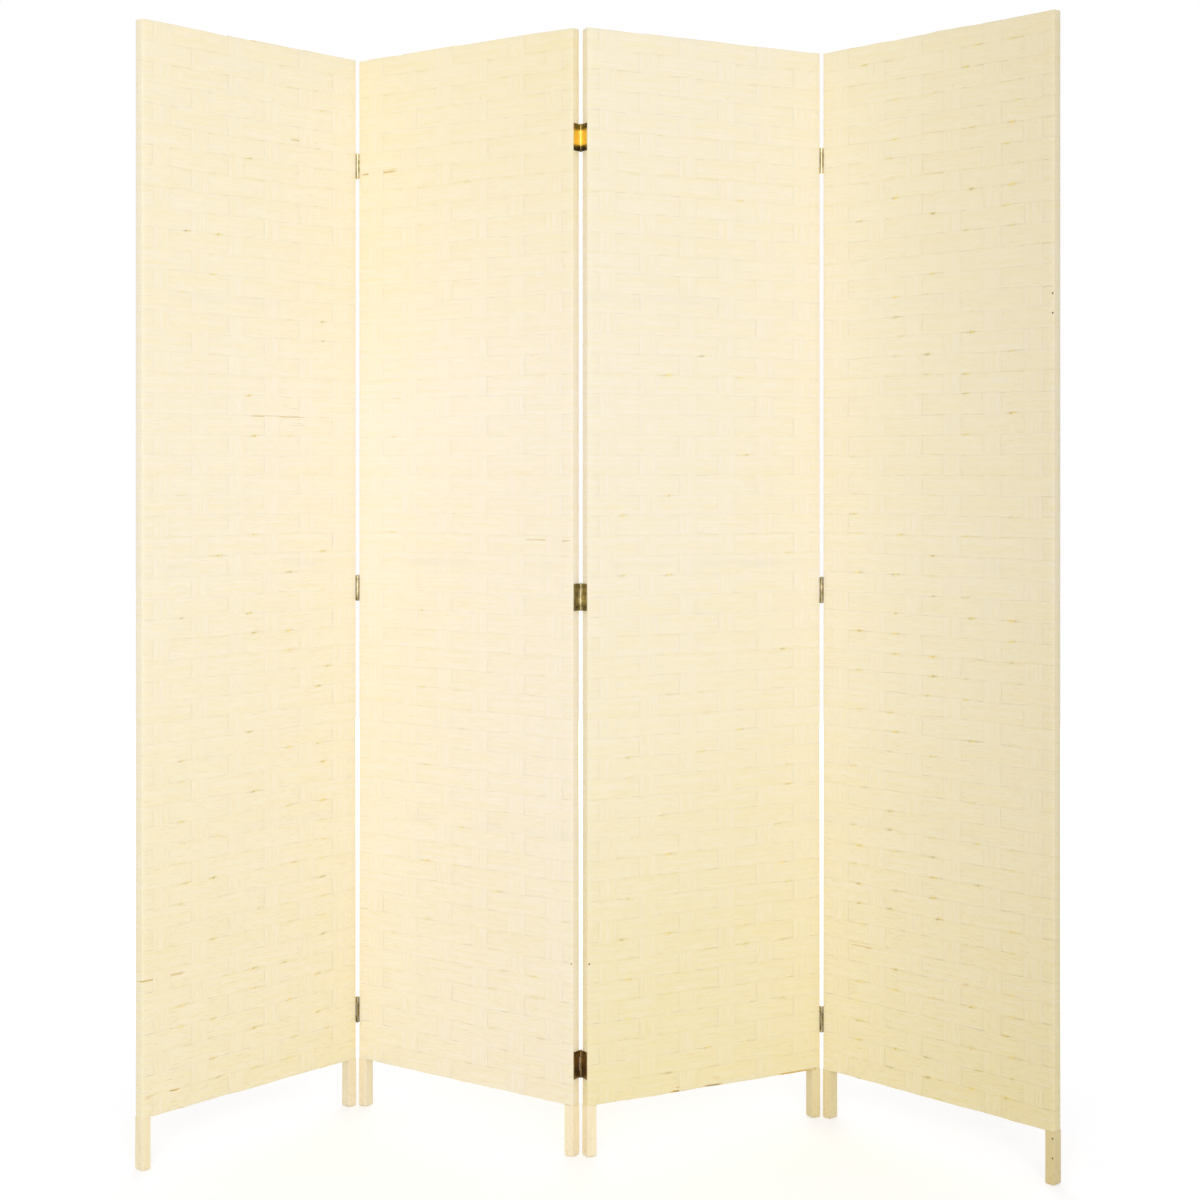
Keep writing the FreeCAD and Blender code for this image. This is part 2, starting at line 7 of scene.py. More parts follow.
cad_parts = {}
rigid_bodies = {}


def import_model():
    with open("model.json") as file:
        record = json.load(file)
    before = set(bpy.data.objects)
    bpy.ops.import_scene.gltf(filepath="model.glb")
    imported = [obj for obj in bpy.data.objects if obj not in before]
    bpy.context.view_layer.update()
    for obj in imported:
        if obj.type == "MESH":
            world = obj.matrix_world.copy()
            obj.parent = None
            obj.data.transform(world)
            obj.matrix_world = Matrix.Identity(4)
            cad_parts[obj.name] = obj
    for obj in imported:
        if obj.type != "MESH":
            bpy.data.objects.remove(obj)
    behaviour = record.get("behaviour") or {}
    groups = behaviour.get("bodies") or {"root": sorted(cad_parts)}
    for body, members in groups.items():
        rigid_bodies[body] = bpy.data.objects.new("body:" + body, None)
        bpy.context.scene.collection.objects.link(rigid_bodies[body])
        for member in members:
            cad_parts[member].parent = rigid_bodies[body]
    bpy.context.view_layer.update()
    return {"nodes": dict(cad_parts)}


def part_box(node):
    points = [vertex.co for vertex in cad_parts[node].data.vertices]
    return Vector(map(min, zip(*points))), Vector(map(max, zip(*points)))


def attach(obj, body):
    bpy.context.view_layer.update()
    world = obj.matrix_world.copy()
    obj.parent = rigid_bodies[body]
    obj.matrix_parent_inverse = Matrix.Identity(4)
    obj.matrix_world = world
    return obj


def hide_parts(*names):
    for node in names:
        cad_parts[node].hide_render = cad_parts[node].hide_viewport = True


# An empty scene, whatever the program starts with
for leftover in list(bpy.data.objects):
    bpy.data.objects.remove(leftover)
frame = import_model()


# Panels
# Four equal flat panels, hinged edge to edge and opened to a zigzag, each a wooden frame in a sleeve of woven
# paper. The middles of a panel's two stiles tell where it stands and how far it is turned.
PANELS = (1, 2, 3, 4)
LEG_WIDTH = 0.016
LEG_DEPTH = 0.019


def stile_middle(number, side):
    low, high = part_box(f"panel_{number}_{side}_stile")
    return (Vector(low) + Vector(high)) / 2


panel_turn = {}
panel_place = {}
for number in PANELS:
    left = stile_middle(number, "left")
    right = stile_middle(number, "right")
    panel_turn[number] = math.atan2(right.y - left.y, right.x - left.x)
    turn = Matrix.Rotation(panel_turn[number], 4, "Z")
    corner = Vector((left.x, left.y, 0)) - turn @ Vector((LEG_WIDTH / 2, LEG_DEPTH / 2, 0))
    panel_place[number] = Matrix.Translation(corner) @ turn


# Stiles
# Two slim bars of pale unvarnished softwood to a panel, planed, sanded and greyed by age, some more than
# others. Their lower ends are the legs, scuffed near the floor, and the weave is wrapped round the rest.
WOOD_PALE = (0.955, 0.855, 0.645, 1)
WOOD_DARK = (0.90, 0.77, 0.51, 1)
WOOD_AGED = (0.84, 0.81, 0.65, 1)
WOOD_SCUFFED = (0.72, 0.62, 0.45, 1)
WOOD_GLOSS = 0.35
# Repeats to a metre of the grain's fine lines and wider rings, of marks of handling, and of scuffs
GRAIN_LINES = 620
GRAIN_RINGS = 150
HANDLING = 14
SCUFFS = 210
SCUFFED_TO = 0.09
SCUFFED_SHARE = 0.4
# Share of its length by which the grain is drawn out, and the weight of each part in its tone
GRAIN_DRAWN_OUT = 0.965
LINES_WEIGHT = 0.6
RINGS_WEIGHT = 0.6
HANDLING_WEIGHT = 0.5
STILE_AGES = {
    (1, "left"): 0.1, (1, "right"): 0.22, (2, "left"): 0.22, (2, "right"): 0.08,
    (3, "left"): 0.08, (3, "right"): 0.95, (4, "left"): 0.95, (4, "right"): 1.0,
}
UPRIGHT = (0, 0, 1)
# Painted shade darkens wood and paper alike at the screen's right end: from which place to which, with what
# tint
END_PAINTED_SHADE = (0.40, 0.72, (0.84, 0.82, 0.77, 1))


def feed(tree, node, inputs):
    """Sets a node's inputs, each to a value or to another node's output."""
    for key, value in inputs.items():
        if isinstance(value, bpy.types.NodeSocket):
            tree.links.new(value, node.inputs[key])
        else:
            node.inputs[key].default_value = value


def place_node(tree, kind, inputs=None, **settings):
    node = tree.nodes.new(kind)
    for name, value in settings.items():
        setattr(node, name, value)
    feed(tree, node, inputs or {})
    return node


def reckon(tree, operation, *operands, clamp=False):
    """Output of a Math node."""
    inputs = dict(enumerate(operands))
    return place_node(tree, "ShaderNodeMath", inputs, operation=operation, use_clamp=clamp).outputs[0]


def reckon_vector(tree, operation, *operands):
    """Output of a Vector Math node that gives a vector."""
    inputs = dict(enumerate(operands))
    return place_node(tree, "ShaderNodeVectorMath", inputs, operation=operation).outputs["Vector"]


def lengthen(tree, vector, factor):
    inputs = {"Vector": vector, "Scale": factor}
    return place_node(tree, "ShaderNodeVectorMath", inputs, operation="SCALE").outputs["Vector"]


def noise(tree, vector, scale, detail=2.0, roughness=0.5):
    inputs = {"Vector": vector, "Scale": scale, "Detail": detail, "Roughness": roughness}
    return place_node(tree, "ShaderNodeTexNoise", inputs).outputs[0]


def spread(tree, value, low, high, new_low=0.0, new_high=1.0):
    """Value moved from one range to another and kept within it."""
    inputs = {"Value": value, "From Min": low, "From Max": high, "To Min": new_low, "To Max": new_high}
    return place_node(tree, "ShaderNodeMapRange", inputs).outputs["Result"]


def mix_colours(tree, share, first, second, blend="MIX"):
    """Output of a Mix node for colours, whose sockets go by number because other kinds share their names."""
    inputs = {0: share, 6: first, 7: second}
    return place_node(tree, "ShaderNodeMix", inputs, data_type="RGBA", blend_type=blend).outputs[2]


def new_group(name, kind, inputs, outputs):
    """Empty node group with named sockets. Returns it with its own inputs and the outputs to fill."""
    tree = bpy.data.node_groups.new(name, kind)
    for direction, sockets in (("INPUT", inputs), ("OUTPUT", outputs)):
        for socket, value_kind in sockets.items():
            tree.interface.new_socket(socket, in_out=direction, socket_type="NodeSocket" + value_kind)
    return tree, place_node(tree, "NodeGroupInput").outputs, place_node(tree, "NodeGroupOutput")


def place_group(tree, group, inputs):
    kind = group.bl_idname.replace("NodeTree", "NodeGroup")
    return place_node(tree, kind, inputs, node_tree=group).outputs


def new_finish(name):
    """New material. Returns it with its node tree and its shader."""
    material = bpy.data.materials.new(name)
    material.use_nodes = True
    return material, material.node_tree, material.node_tree.nodes["Principled BSDF"]


def bump(tree, height, strength, distance):
    inputs = {"Height": height, "Strength": strength, "Distance": distance}
    return place_node(tree, "ShaderNodeBump", inputs).outputs[0]


def object_point(tree):
    return place_node(tree, "ShaderNodeTexCoord").outputs["Object"]


def combine(tree, x=0.0, y=0.0, z=0.0):
    return place_node(tree, "ShaderNodeCombineXYZ", {"X": x, "Y": y, "Z": z}).outputs[0]


def coordinate(tree, vector, axis):
    return place_node(tree, "ShaderNodeSeparateXYZ", {"Vector": vector}).outputs[axis]


def painted_shade(tree, colour, point, start, end, tint):
    """Colour with painted shade: a tint taken on from one place along the screen to another."""
    share = spread(tree, coordinate(tree, point, "X"), start, end)
    return mix_colours(tree, share, colour, tint, "MULTIPLY")


def wood_grain():
    """Straight close grain along a direction: a colour with painted shade at the screen's right end, a
    roughness and a height.
    """
    tree, given, result = new_group(
        "wood_grain", "ShaderNodeTree",
        {"Direction": "Vector", "Pale": "Color", "Dark": "Color", "Aged": "Color", "Age": "Float"},
        {"Colour": "Color", "Roughness": "Float", "Height": "Float"})
    point = object_point(tree)
    direction = given["Direction"]
    length = place_node(
        tree, "ShaderNodeVectorMath", {0: point, 1: direction}, operation="DOT_PRODUCT").outputs["Value"]
    taken_out = lengthen(tree, direction, reckon(tree, "MULTIPLY", length, GRAIN_DRAWN_OUT))
    drawn_out = reckon_vector(tree, "SUBTRACT", point, taken_out)
    lines = noise(tree, drawn_out, GRAIN_LINES, detail=4, roughness=0.6)
    rings = noise(tree, drawn_out, GRAIN_RINGS, detail=2)
    handled = noise(tree, point, HANDLING, detail=3)
    lines_tone = reckon(tree, "MULTIPLY", lines, LINES_WEIGHT)
    tone = reckon(tree, "ADD", lines_tone, reckon(tree, "MULTIPLY", rings, RINGS_WEIGHT))
    tone = reckon(tree, "ADD", tone, reckon(tree, "MULTIPLY", handled, HANDLING_WEIGHT))
    colour = mix_colours(tree, spread(tree, tone, 0.68, 1.06), given["Pale"], given["Dark"])
    colour = mix_colours(tree, given["Age"], colour, given["Aged"], "MULTIPLY")
    scuffs = spread(tree, noise(tree, point, SCUFFS, detail=4), 0.55, 0.68)
    near_floor = spread(tree, coordinate(tree, point, "Z"), SCUFFED_TO, 0.0, 0.0, SCUFFED_SHARE)
    scuffs = reckon(tree, "MULTIPLY", scuffs, near_floor)
    colour = mix_colours(tree, scuffs, colour, WOOD_SCUFFED, "MULTIPLY")
    feed(tree, result, {
        "Colour": painted_shade(tree, colour, point, *END_PAINTED_SHADE),
        "Roughness": spread(tree, lines, 0.3, 0.7, 0.5, 0.68),
        "Height": lines,
    })
    return tree


def wood_finish(name, direction, age):
    material, tree, shader = new_finish(name)
    grain = place_group(tree, WOOD_GRAIN, {
        "Direction": direction, "Pale": WOOD_PALE, "Dark": WOOD_DARK, "Aged": WOOD_AGED, "Age": age})
    feed(tree, shader, {
        "Base Color": grain["Colour"],
        "Roughness": grain["Roughness"],
        "Specular IOR Level": WOOD_GLOSS,
        "Normal": bump(tree, grain["Height"], strength=0.25, distance=0.0002),
    })
    return material


def finish_node(name, material):
    """Gives a CAD node's own object one material."""
    slots = frame["nodes"][name].data.materials
    slots.clear()
    slots.append(material)


WOOD_GRAIN = wood_grain()
for (number, side), age in STILE_AGES.items():
    stile = f"panel_{number}_{side}_stile"
    finish_node(stile, wood_finish(stile + "_wood", UPRIGHT, age))


# Rails
# Five crossbars of the same wood to a panel, tenoned into the stiles, with the grain along the bar. The weave
# hides them, except the top and bottom ones between the bands that go over the panel's edge.
RAILS = ("top_rail", "middle_rails", "bottom_rail")
RAIL_AGE = 0.1

for number in PANELS:
    along_bar = (math.cos(panel_turn[number]), math.sin(panel_turn[number]), 0)
    rail_wood = wood_finish(f"panel_{number}_rail_wood", along_bar, RAIL_AGE)
    for rail in RAILS:
        finish_node(f"panel_{number}_{rail}", rail_wood)


# Warp bands
# Six upright bands to a panel, each a flat bundle of ten twisted paper strands that goes up the front and
# down the back. They pass over and under the crosswise bundles in turn, which holds the sleeve together.
BANDS = 6
BAND_STRANDS = 10
BAND_WIDTH = 0.033
ROWS = 53
STEPS_PER_ROW = 3
STEPS_PER_GAP = 7
LIFT = 0.00030
FACE_BED = 0.00034
EDGE_BED = 0.00012
EDGE_RUN_IN = 0.022
CORNER_ROUND = 0.0016
STRAND_RIDGE = 0.00013
BAND_GROOVE = 0.00008
BAND_WANDER = 0.0014
BAND_SEED = 10
# A slit's place among the middle steps of the gap between two crossings, its half length as a share of that
# gap, and how far it gapes, each drawn between two ends
SLIT_PLACES = (0.6, 2.2)
SLIT_HALVES = (0.08, 0.16)
SLIT_GAPES = (0.1, 1.0)
# Lengths over which an edge wanders and two strands part
WANDER_LENGTH = 0.09
VALLEY_LENGTH = 0.03
# Steps through the noise from one edge, strand or seam to the next, and from the front to the back
EDGE_STEP = 3.71
EDGE_TO_BACK = 7.7
STRAND_STEP = 1.9
STRAND_TO_BACK = 5.3
LINE_STEP = 1.37
# How many half strands a slit's painted shade reaches in, and the bend past which an edge of the mesh
# stays sharp
SLIT_SHADE_REACH = 1.4
SHARP_BEND = math.radians(50)
# How the paper differs from panel to panel: its tone, which is painted light and shade for how each panel
# faces the light, the stretch of painted shade along it, how strongly flecks are stained and seams and slits
# are painted with shade, how far it darkens and yellows at the foot, and its painted shade at the top
PANEL_LIGHT_AND_SHADE = {
    1: (1.0, 1.0, 1.02), 2: (1.02, 1.02, 1.06), 3: (0.96, 0.96, 0.985), 4: (0.98, 0.98, 0.985),
}
# Painted shade along each panel's paper, on panel 2 towards its right end
PAPER_PAINTED_SHADE = {
    1: END_PAINTED_SHADE, 2: (-0.39, -0.03, (0.955, 0.945, 0.945, 1)), 3: END_PAINTED_SHADE, 4: END_PAINTED_SHADE,
}
STAIN_AND_SHADE = {1: 0.9, 2: 0.65, 3: 0.7, 4: 0.95}
DEEPER_AT_FOOT = {1: 0.31, 2: 0.14, 3: 0.54, 4: 0.38}
SHADED_TOPS = {1: 0.08, 2: 0.33, 3: 0.10, 4: 0.16}
# Strength of the painted shade lines along the edges of the warp bands
BAND_EDGE_SHADE = 0.1
WEAVE_FOOT = 0.081
RAIL_SPACING = 0.426
WARP_PAPER = (0.94, 0.866, 0.71, 1)
WARP_SHADE = (0.905, 0.795, 0.465, 1)
# Painted shade in the seams where strands have parted, and along the edges of bundles
PAPER_SEAM_SHADE = (0.70, 0.58, 0.29, 1)
PAPER_EDGE_SHADE = (0.66, 0.56, 0.36, 1)
PAPER_FLECK = (0.57, 0.48, 0.09, 1)
# Painted shade inside the slits, golden, darker at its core
SLIT_PAINTED_SHADE = (0.84, 0.66, 0.05, 1)
SLIT_CORE_PAINTED_SHADE = (0.45, 0.34, 0.10, 1)
PAPER_MARK = (0.62, 0.42, 0.09, 1)
PAPER_DEEP = (0.15, 0.105, 0.045, 1)
PAPER_OVER_RAILS = (0.74, 0.71, 0.63, 1)
PAPER_GLOSS = 0.25
# Length over which each pattern changes along a strand or seam, and where in the noise it starts
STREAKS = (0.04, 0.0)
PARTINGS = (0.018, 30.0)
SPECKS = (0.012, 60.0)
FIBRES = (0.07, 90.0)
MARK_BREAKS = (0.015, 120.0)
EDGE_LINES = (0.05, 150.0)
SLIT_CORES = (0.007, 180.0)
# Repeats to a metre of patches that have aged, and of greyer patches over the rails
AGED_PATCHES = 2.3
RAIL_PATCHES = 9.0
# Heights between which the foot darkens and yellows and the top takes painted shade, and the weight of
# each part in the paper's shade
FOOT_DEEPENS = (0.95, 0.05)
TOP_SHADED = (1.2, 1.75)
STRAND_WEIGHT = 0.16
STREAK_WEIGHT = 0.55
PATCH_WEIGHT = 0.3
# Radians that the twist turns through to a metre of strand, and from one strand to the next
TWIST_TURN = 2600.0
TWIST_SLANT = 5.0


def local_box(node, number):
    """Lowest and highest corner of a CAD node along its panel's own directions."""
    back = panel_place[number].inverted()
    points = [back @ vertex.co for vertex in frame["nodes"][node].data.vertices]
    low = Vector(map(min, zip(*points)))
    high = Vector(map(max, zip(*points)))
    return low, high


def wrapping_route(name, low, high, reach_axis, steps):
    """Closed line round a panel's section, as a mesh, with what the strands that follow it need.

    The line runs along the front, round the far edge, along the back and round the near edge. At each point,
    reach is the place along the panel, turned is 1 on the back, bed is how deep the strands lie, along is the
    length so far, and outward points out of the panel.
    """
    near, far = low[reach_axis] + CORNER_ROUND, high[reach_axis] - CORNER_ROUND
    front, back = low.y + CORNER_ROUND, high.y - CORNER_ROUND
    flat = []
    for step in range(steps + 1):
        flat.append((near + (far - near) * step / steps, front, -90))
    for angle in (-60, -30, 0):
        flat.append((far, front, angle))
    for angle in (0, 30, 60):
        flat.append((far, back, angle))
    for step in range(steps + 1):
        flat.append((far + (near - far) * step / steps, back, 90))
    for angle in (120, 150, 180):
        flat.append((near, back, angle))
    for angle in (180, 210, 240):
        flat.append((near, front, angle))
    points, outward, bed, along = [], [], [], [0.0]
    for reach, depth, angle in flat:
        direction = Vector((0, math.sin(math.radians(angle)), 0))
        direction[reach_axis] = math.cos(math.radians(angle))
        point = Vector((0, depth, 0))
        point[reach_axis] = reach
        points.append(point + direction * CORNER_ROUND)
        outward.append(direction)
        inset = min(reach - near, far - reach) / EDGE_RUN_IN
        eased = max(0.0, min(1.0, inset))
        eased = eased * eased * (3 - 2 * eased)
        bed.append(EDGE_BED + (FACE_BED - EDGE_BED) * eased)
    for first, second in zip(points, points[1:]):
        along.append(along[-1] + (second - first).length)
    mesh = bpy.data.meshes.new(name)
    mesh.from_pydata(points, [(i, (i + 1) % len(points)) for i in range(len(points))], [])
    middle = (front + back) / 2
    columns = {
        "reach": [point[reach_axis] for point in points],
        "turned": [float(point.y > middle) for point in points],
        "bed": bed,
        "along": along,
    }
    for column, values in columns.items():
        mesh.attributes.new(column, "FLOAT", "POINT").data.foreach_set("value", values)
    flat_outward = [part for direction in outward for part in direction]
    mesh.attributes.new("outward", "FLOAT_VECTOR", "POINT").data.foreach_set("vector", flat_outward)
    return mesh


def read(tree, name, kind="FLOAT"):
    node = place_node(tree, "GeometryNodeInputNamedAttribute", {"Name": name}, data_type=kind)
    return node.outputs["Attribute"]


def keep(tree, geometry, name, value, kind="FLOAT"):
    inputs = {"Geometry": geometry, "Name": name, "Value": value}
    return place_node(tree, "GeometryNodeStoreNamedAttribute", inputs, data_type=kind).outputs["Geometry"]


def draw(tree, low, high, number, seed):
    """A fixed random number between low and high for each whole number."""
    inputs = {2: low, 3: high, "ID": number, "Seed": seed}
    return place_node(tree, "FunctionNodeRandomValue", inputs, data_type="FLOAT").outputs[1]


def close_tree(tree, result, geometry, finish):
    """Ends a tree in plain geometry with one material."""
    plain = place_node(tree, "GeometryNodeRealizeInstances", {"Geometry": geometry}).outputs["Geometry"]
    inputs = {"Geometry": plain, "Material": finish}
    finished = place_node(tree, "GeometryNodeSetMaterial", inputs).outputs["Geometry"]
    feed(tree, result, {"Geometry": finished})


def bundle_edge():
    """How far one edge of a bundle wanders, from -1 to 1, and how far it gapes, from 0 to 1."""
    tree, given, result = new_group(
        "bundle_edge", "GeometryNodeTree",
        {"Edge": "Float", "Reach": "Float", "Turned": "Float", "Crossings": "Int", "Crossing Pitch": "Float",
         "Crossing First": "Float", "Bundles": "Int", "Slits At Foot": "Float", "Slits At Top": "Float",
         "Seed": "Int"},
        {"Wander": "Float", "Slit": "Float"})
    from_first = reckon(tree, "SUBTRACT", given["Reach"], given["Crossing First"])
    place = reckon(tree, "DIVIDE", from_first, given["Crossing Pitch"])
    gap = reckon(tree, "FLOOR", place)
    within = reckon(tree, "FRACT", place)
    # Each gap of each edge has a number of its own, on the front and on the back
    number = reckon(tree, "MULTIPLY_ADD", given["Edge"], 40.0, gap)
    number = reckon(tree, "MULTIPLY_ADD", given["Turned"], 20.0, number)
    chance = draw(tree, 0.0, 1.0, number, given["Seed"])
    step = reckon(tree, "FLOOR", draw(tree, *SLIT_PLACES, number, reckon(tree, "ADD", given["Seed"], 1.0)))
    middle = reckon(tree, "MULTIPLY_ADD", step, 1 / STEPS_PER_GAP, 0.5 - 1 / STEPS_PER_GAP)
    half = draw(tree, *SLIT_HALVES, number, reckon(tree, "ADD", given["Seed"], 2.0))
    strength = draw(tree, *SLIT_GAPES, number, reckon(tree, "ADD", given["Seed"], 3.0))
    offset = reckon(tree, "DIVIDE", reckon(tree, "SUBTRACT", within, middle), half)
    lens = reckon(tree, "SUBTRACT", 1.0, reckon(tree, "MULTIPLY", offset, offset), clamp=True)
    down = reckon(tree, "SUBTRACT", 1.0, reckon(tree, "DIVIDE", given["Edge"], given["Bundles"]))
    more = reckon(tree, "SUBTRACT", given["Slits At Foot"], given["Slits At Top"])
    share = reckon(tree, "MULTIPLY_ADD", reckon(tree, "MULTIPLY", down, down), more, given["Slits At Top"])
    half_way = reckon(tree, "MULTIPLY_ADD", given["Crossings"], 0.5, -0.5)
    from_middle = reckon(tree, "ABSOLUTE", reckon(tree, "SUBTRACT", place, half_way))
    opened = reckon(tree, "MULTIPLY", reckon(tree, "LESS_THAN", chance, share), strength)
    opened = reckon(tree, "MULTIPLY", opened, reckon(tree, "LESS_THAN", from_middle, half_way))
    spot = combine(
        tree,
        x=reckon(tree, "DIVIDE", given["Reach"], WANDER_LENGTH),
        y=reckon(tree, "MULTIPLY", given["Edge"], EDGE_STEP),
        z=reckon(tree, "MULTIPLY_ADD", given["Turned"], EDGE_TO_BACK, given["Seed"]))
    wander = spread(tree, noise(tree, spot, 1.0, detail=1), 0.2, 0.8, -1.0, 1.0)
    feed(tree, result, {"Wander": wander, "Slit": reckon(tree, "MULTIPLY", lens, opened)})
    return tree


def woven_bundles(edge_group):
    """Flat bundles of strands side by side, round one route, that ride over and under what crosses them."""
    tree, given, result = new_group(
        "woven_bundles", "GeometryNodeTree",
        {"Route": "Geometry", "Bundles": "Int", "Strands": "Int", "Pitch": "Float", "First": "Float",
         "Width": "Float", "Spread": "Vector", "Edge Stride": "Float", "Crossings": "Int",
         "Crossing Pitch": "Float", "Crossing First": "Float", "Lift": "Float", "Ridge": "Float",
         "Groove": "Float", "Wander": "Float", "Slits At Foot": "Float", "Slits At Top": "Float",
         "Slit Depth": "Float", "Flipped": "Bool", "Seed": "Int", "Finish": "Material"},
        {"Geometry": "Geometry"})
    route = place_node(tree, "GeometryNodeMeshToCurve", {"Mesh": given["Route"]}).outputs["Curve"]
    here = place_node(tree, "GeometryNodeInputPosition").outputs["Position"]
    index = place_node(tree, "GeometryNodeInputIndex").outputs["Index"]
    route = keep(tree, route, "route", here, "FLOAT_VECTOR")
    last_step = reckon(tree, "MULTIPLY", given["Strands"], 2.0)
    # Any profile with two steps to a strand will do, because each point is set in its place further down
    profile = place_node(tree, "GeometryNodeCurvePrimitiveCircle", {
        "Resolution": reckon(tree, "ADD", last_step, 1.0), "Radius": 0.001}, mode="RADIUS").outputs["Curve"]
    profile = keep(tree, profile, "step", index)
    strip = place_node(tree, "GeometryNodeCurveToMesh", {
        "Curve": route, "Profile Curve": profile}).outputs["Mesh"]
    starts = place_node(tree, "GeometryNodePoints", {"Count": given["Bundles"]}).outputs["Points"]
    starts = keep(tree, starts, "bundle", index)
    placed = place_node(tree, "GeometryNodeInstanceOnPoints", {
        "Points": starts, "Instance": strip}).outputs["Instances"]
    strips = place_node(tree, "GeometryNodeRealizeInstances", {"Geometry": placed}).outputs["Geometry"]

    bundle, step = read(tree, "bundle"), read(tree, "step")
    reach, turned = read(tree, "reach"), read(tree, "turned")
    across = reckon(tree, "DIVIDE", step, last_step)
    to_end = reckon(tree, "SUBTRACT", last_step, step)
    edges = []
    for offset in (0.0, 1.0):
        edges.append(place_group(tree, edge_group, {
            "Edge": reckon(tree, "MULTIPLY_ADD", bundle, given["Edge Stride"], offset),
            "Reach": reach,
            "Turned": turned,
            **{name: given[name] for name in (
                "Crossings", "Crossing Pitch", "Crossing First", "Bundles", "Slits At Foot", "Slits At Top",
                "Seed")},
        }))
    first_edge, last_edge = edges
    wander = place_node(tree, "ShaderNodeMix", {
        "Factor": across, "A": first_edge["Wander"], "B": last_edge["Wander"]}).outputs["Result"]

    # Up over one crossing and down under the next, with flattened tops
    from_first = reckon(tree, "SUBTRACT", reach, given["Crossing First"])
    crossing = reckon(tree, "DIVIDE", from_first, given["Crossing Pitch"])
    phase = reckon(tree, "ADD", reckon(tree, "ADD", crossing, bundle), turned)
    wave = reckon(tree, "COSINE", reckon(tree, "MULTIPLY", phase, math.pi))
    squared = reckon(tree, "MULTIPLY", wave, wave)
    wave = reckon(tree, "MULTIPLY", wave, reckon(tree, "MULTIPLY_ADD", squared, -0.5, 1.5))
    strand_number = reckon(tree, "MULTIPLY", bundle, reckon(tree, "ADD", given["Strands"], 1.0))
    lay = reckon(tree, "MULTIPLY_ADD", across, given["Strands"], strand_number)
    spot = combine(
        tree,
        x=reckon(tree, "DIVIDE", reach, VALLEY_LENGTH),
        y=reckon(tree, "MULTIPLY", lay, STRAND_STEP),
        z=reckon(tree, "MULTIPLY_ADD", turned, STRAND_TO_BACK, given["Seed"]))
    parting = noise(tree, spot, 1.0, detail=1)
    valley = reckon(tree, "SUBTRACT", 1.0, reckon(tree, "MODULO", step, 2.0))
    valley = reckon(tree, "MULTIPLY", valley, spread(tree, parting, 0.5, 0.75, 0.6, 2.2))
    depth = reckon(tree, "SUBTRACT", read(tree, "bed"), reckon(tree, "MULTIPLY", wave, given["Lift"]))
    depth = reckon(tree, "MULTIPLY_ADD", valley, given["Ridge"], depth)
    gape = 0.0
    for steps_in, edge in ((step, first_edge), (to_end, last_edge)):
        at_edge = reckon(tree, "SUBTRACT", 1.0, steps_in, clamp=True)
        sunk = reckon(tree, "MULTIPLY_ADD", edge["Slit"], given["Slit Depth"], given["Groove"])
        depth = reckon(tree, "MULTIPLY_ADD", at_edge, sunk, depth)
        # The slit's painted shade reaches a little in from the edge
        slit_shaded = reckon(tree, "SUBTRACT", 1.0, reckon(tree, "DIVIDE", steps_in, SLIT_SHADE_REACH), clamp=True)
        gape = reckon(tree, "MULTIPLY_ADD", slit_shaded, edge["Slit"], gape)

    aside = reckon(tree, "MULTIPLY", reckon(tree, "SUBTRACT", across, 0.5), given["Width"])
    aside = reckon(tree, "MULTIPLY_ADD", wander, given["Wander"], aside)
    aside = reckon(tree, "ADD", aside, reckon(tree, "MULTIPLY_ADD", bundle, given["Pitch"], given["First"]))
    inward = lengthen(tree, read(tree, "outward", "FLOAT_VECTOR"), reckon(tree, "MULTIPLY", depth, -1.0))
    place = reckon_vector(tree, "ADD", read(tree, "route", "FLOAT_VECTOR"), inward)
    place = reckon_vector(tree, "ADD", place, lengthen(tree, given["Spread"], aside))
    strips = keep(tree, strips, "lay", lay)
    strips = keep(tree, strips, "slit", gape)
    strips = place_node(tree, "GeometryNodeSetPosition", {
        "Geometry": strips, "Position": place}).outputs["Geometry"]
    strips = place_node(tree, "GeometryNodeFlipFaces", {
        "Mesh": strips, "Selection": given["Flipped"]}).outputs["Mesh"]
    strips = place_node(tree, "GeometryNodeSetShadeSmooth", {"Geometry": strips}).outputs["Geometry"]
    bend = place_node(tree, "GeometryNodeInputMeshEdgeAngle").outputs["Unsigned Angle"]
    strips = place_node(tree, "GeometryNodeSetShadeSmooth", {
        "Geometry": strips, "Selection": reckon(tree, "GREATER_THAN", bend, SHARP_BEND),
        "Shade Smooth": False}, domain="EDGE").outputs["Geometry"]
    close_tree(tree, result, strips, given["Finish"])
    return tree


def grow(name, start, tree, inputs, place=None):
    """Object with the plain mesh that a tree makes of a starting mesh."""
    piece = bpy.data.objects.new(name, start)
    bpy.context.scene.collection.objects.link(piece)
    modifier = piece.modifiers.new("tree", "NODES")
    modifier.node_group = tree
    for item in tree.interface.items_tree:
        if item.in_out == "INPUT" and item.name in inputs:
            modifier[item.identifier] = inputs[item.name]
    bpy.context.view_layer.update()
    evaluated = piece.evaluated_get(bpy.context.evaluated_depsgraph_get())
    mesh = bpy.data.meshes.new_from_object(evaluated)
    piece.modifiers.clear()
    piece.data = mesh
    bpy.data.meshes.remove(start)
    mesh.name = name
    mesh.materials.clear()
    mesh.materials.append(inputs["Finish"])
    if place:
        mesh.transform(place)
    return piece


def drop_columns(piece, *names):
    for name in names:
        piece.data.attributes.remove(piece.data.attributes[name])


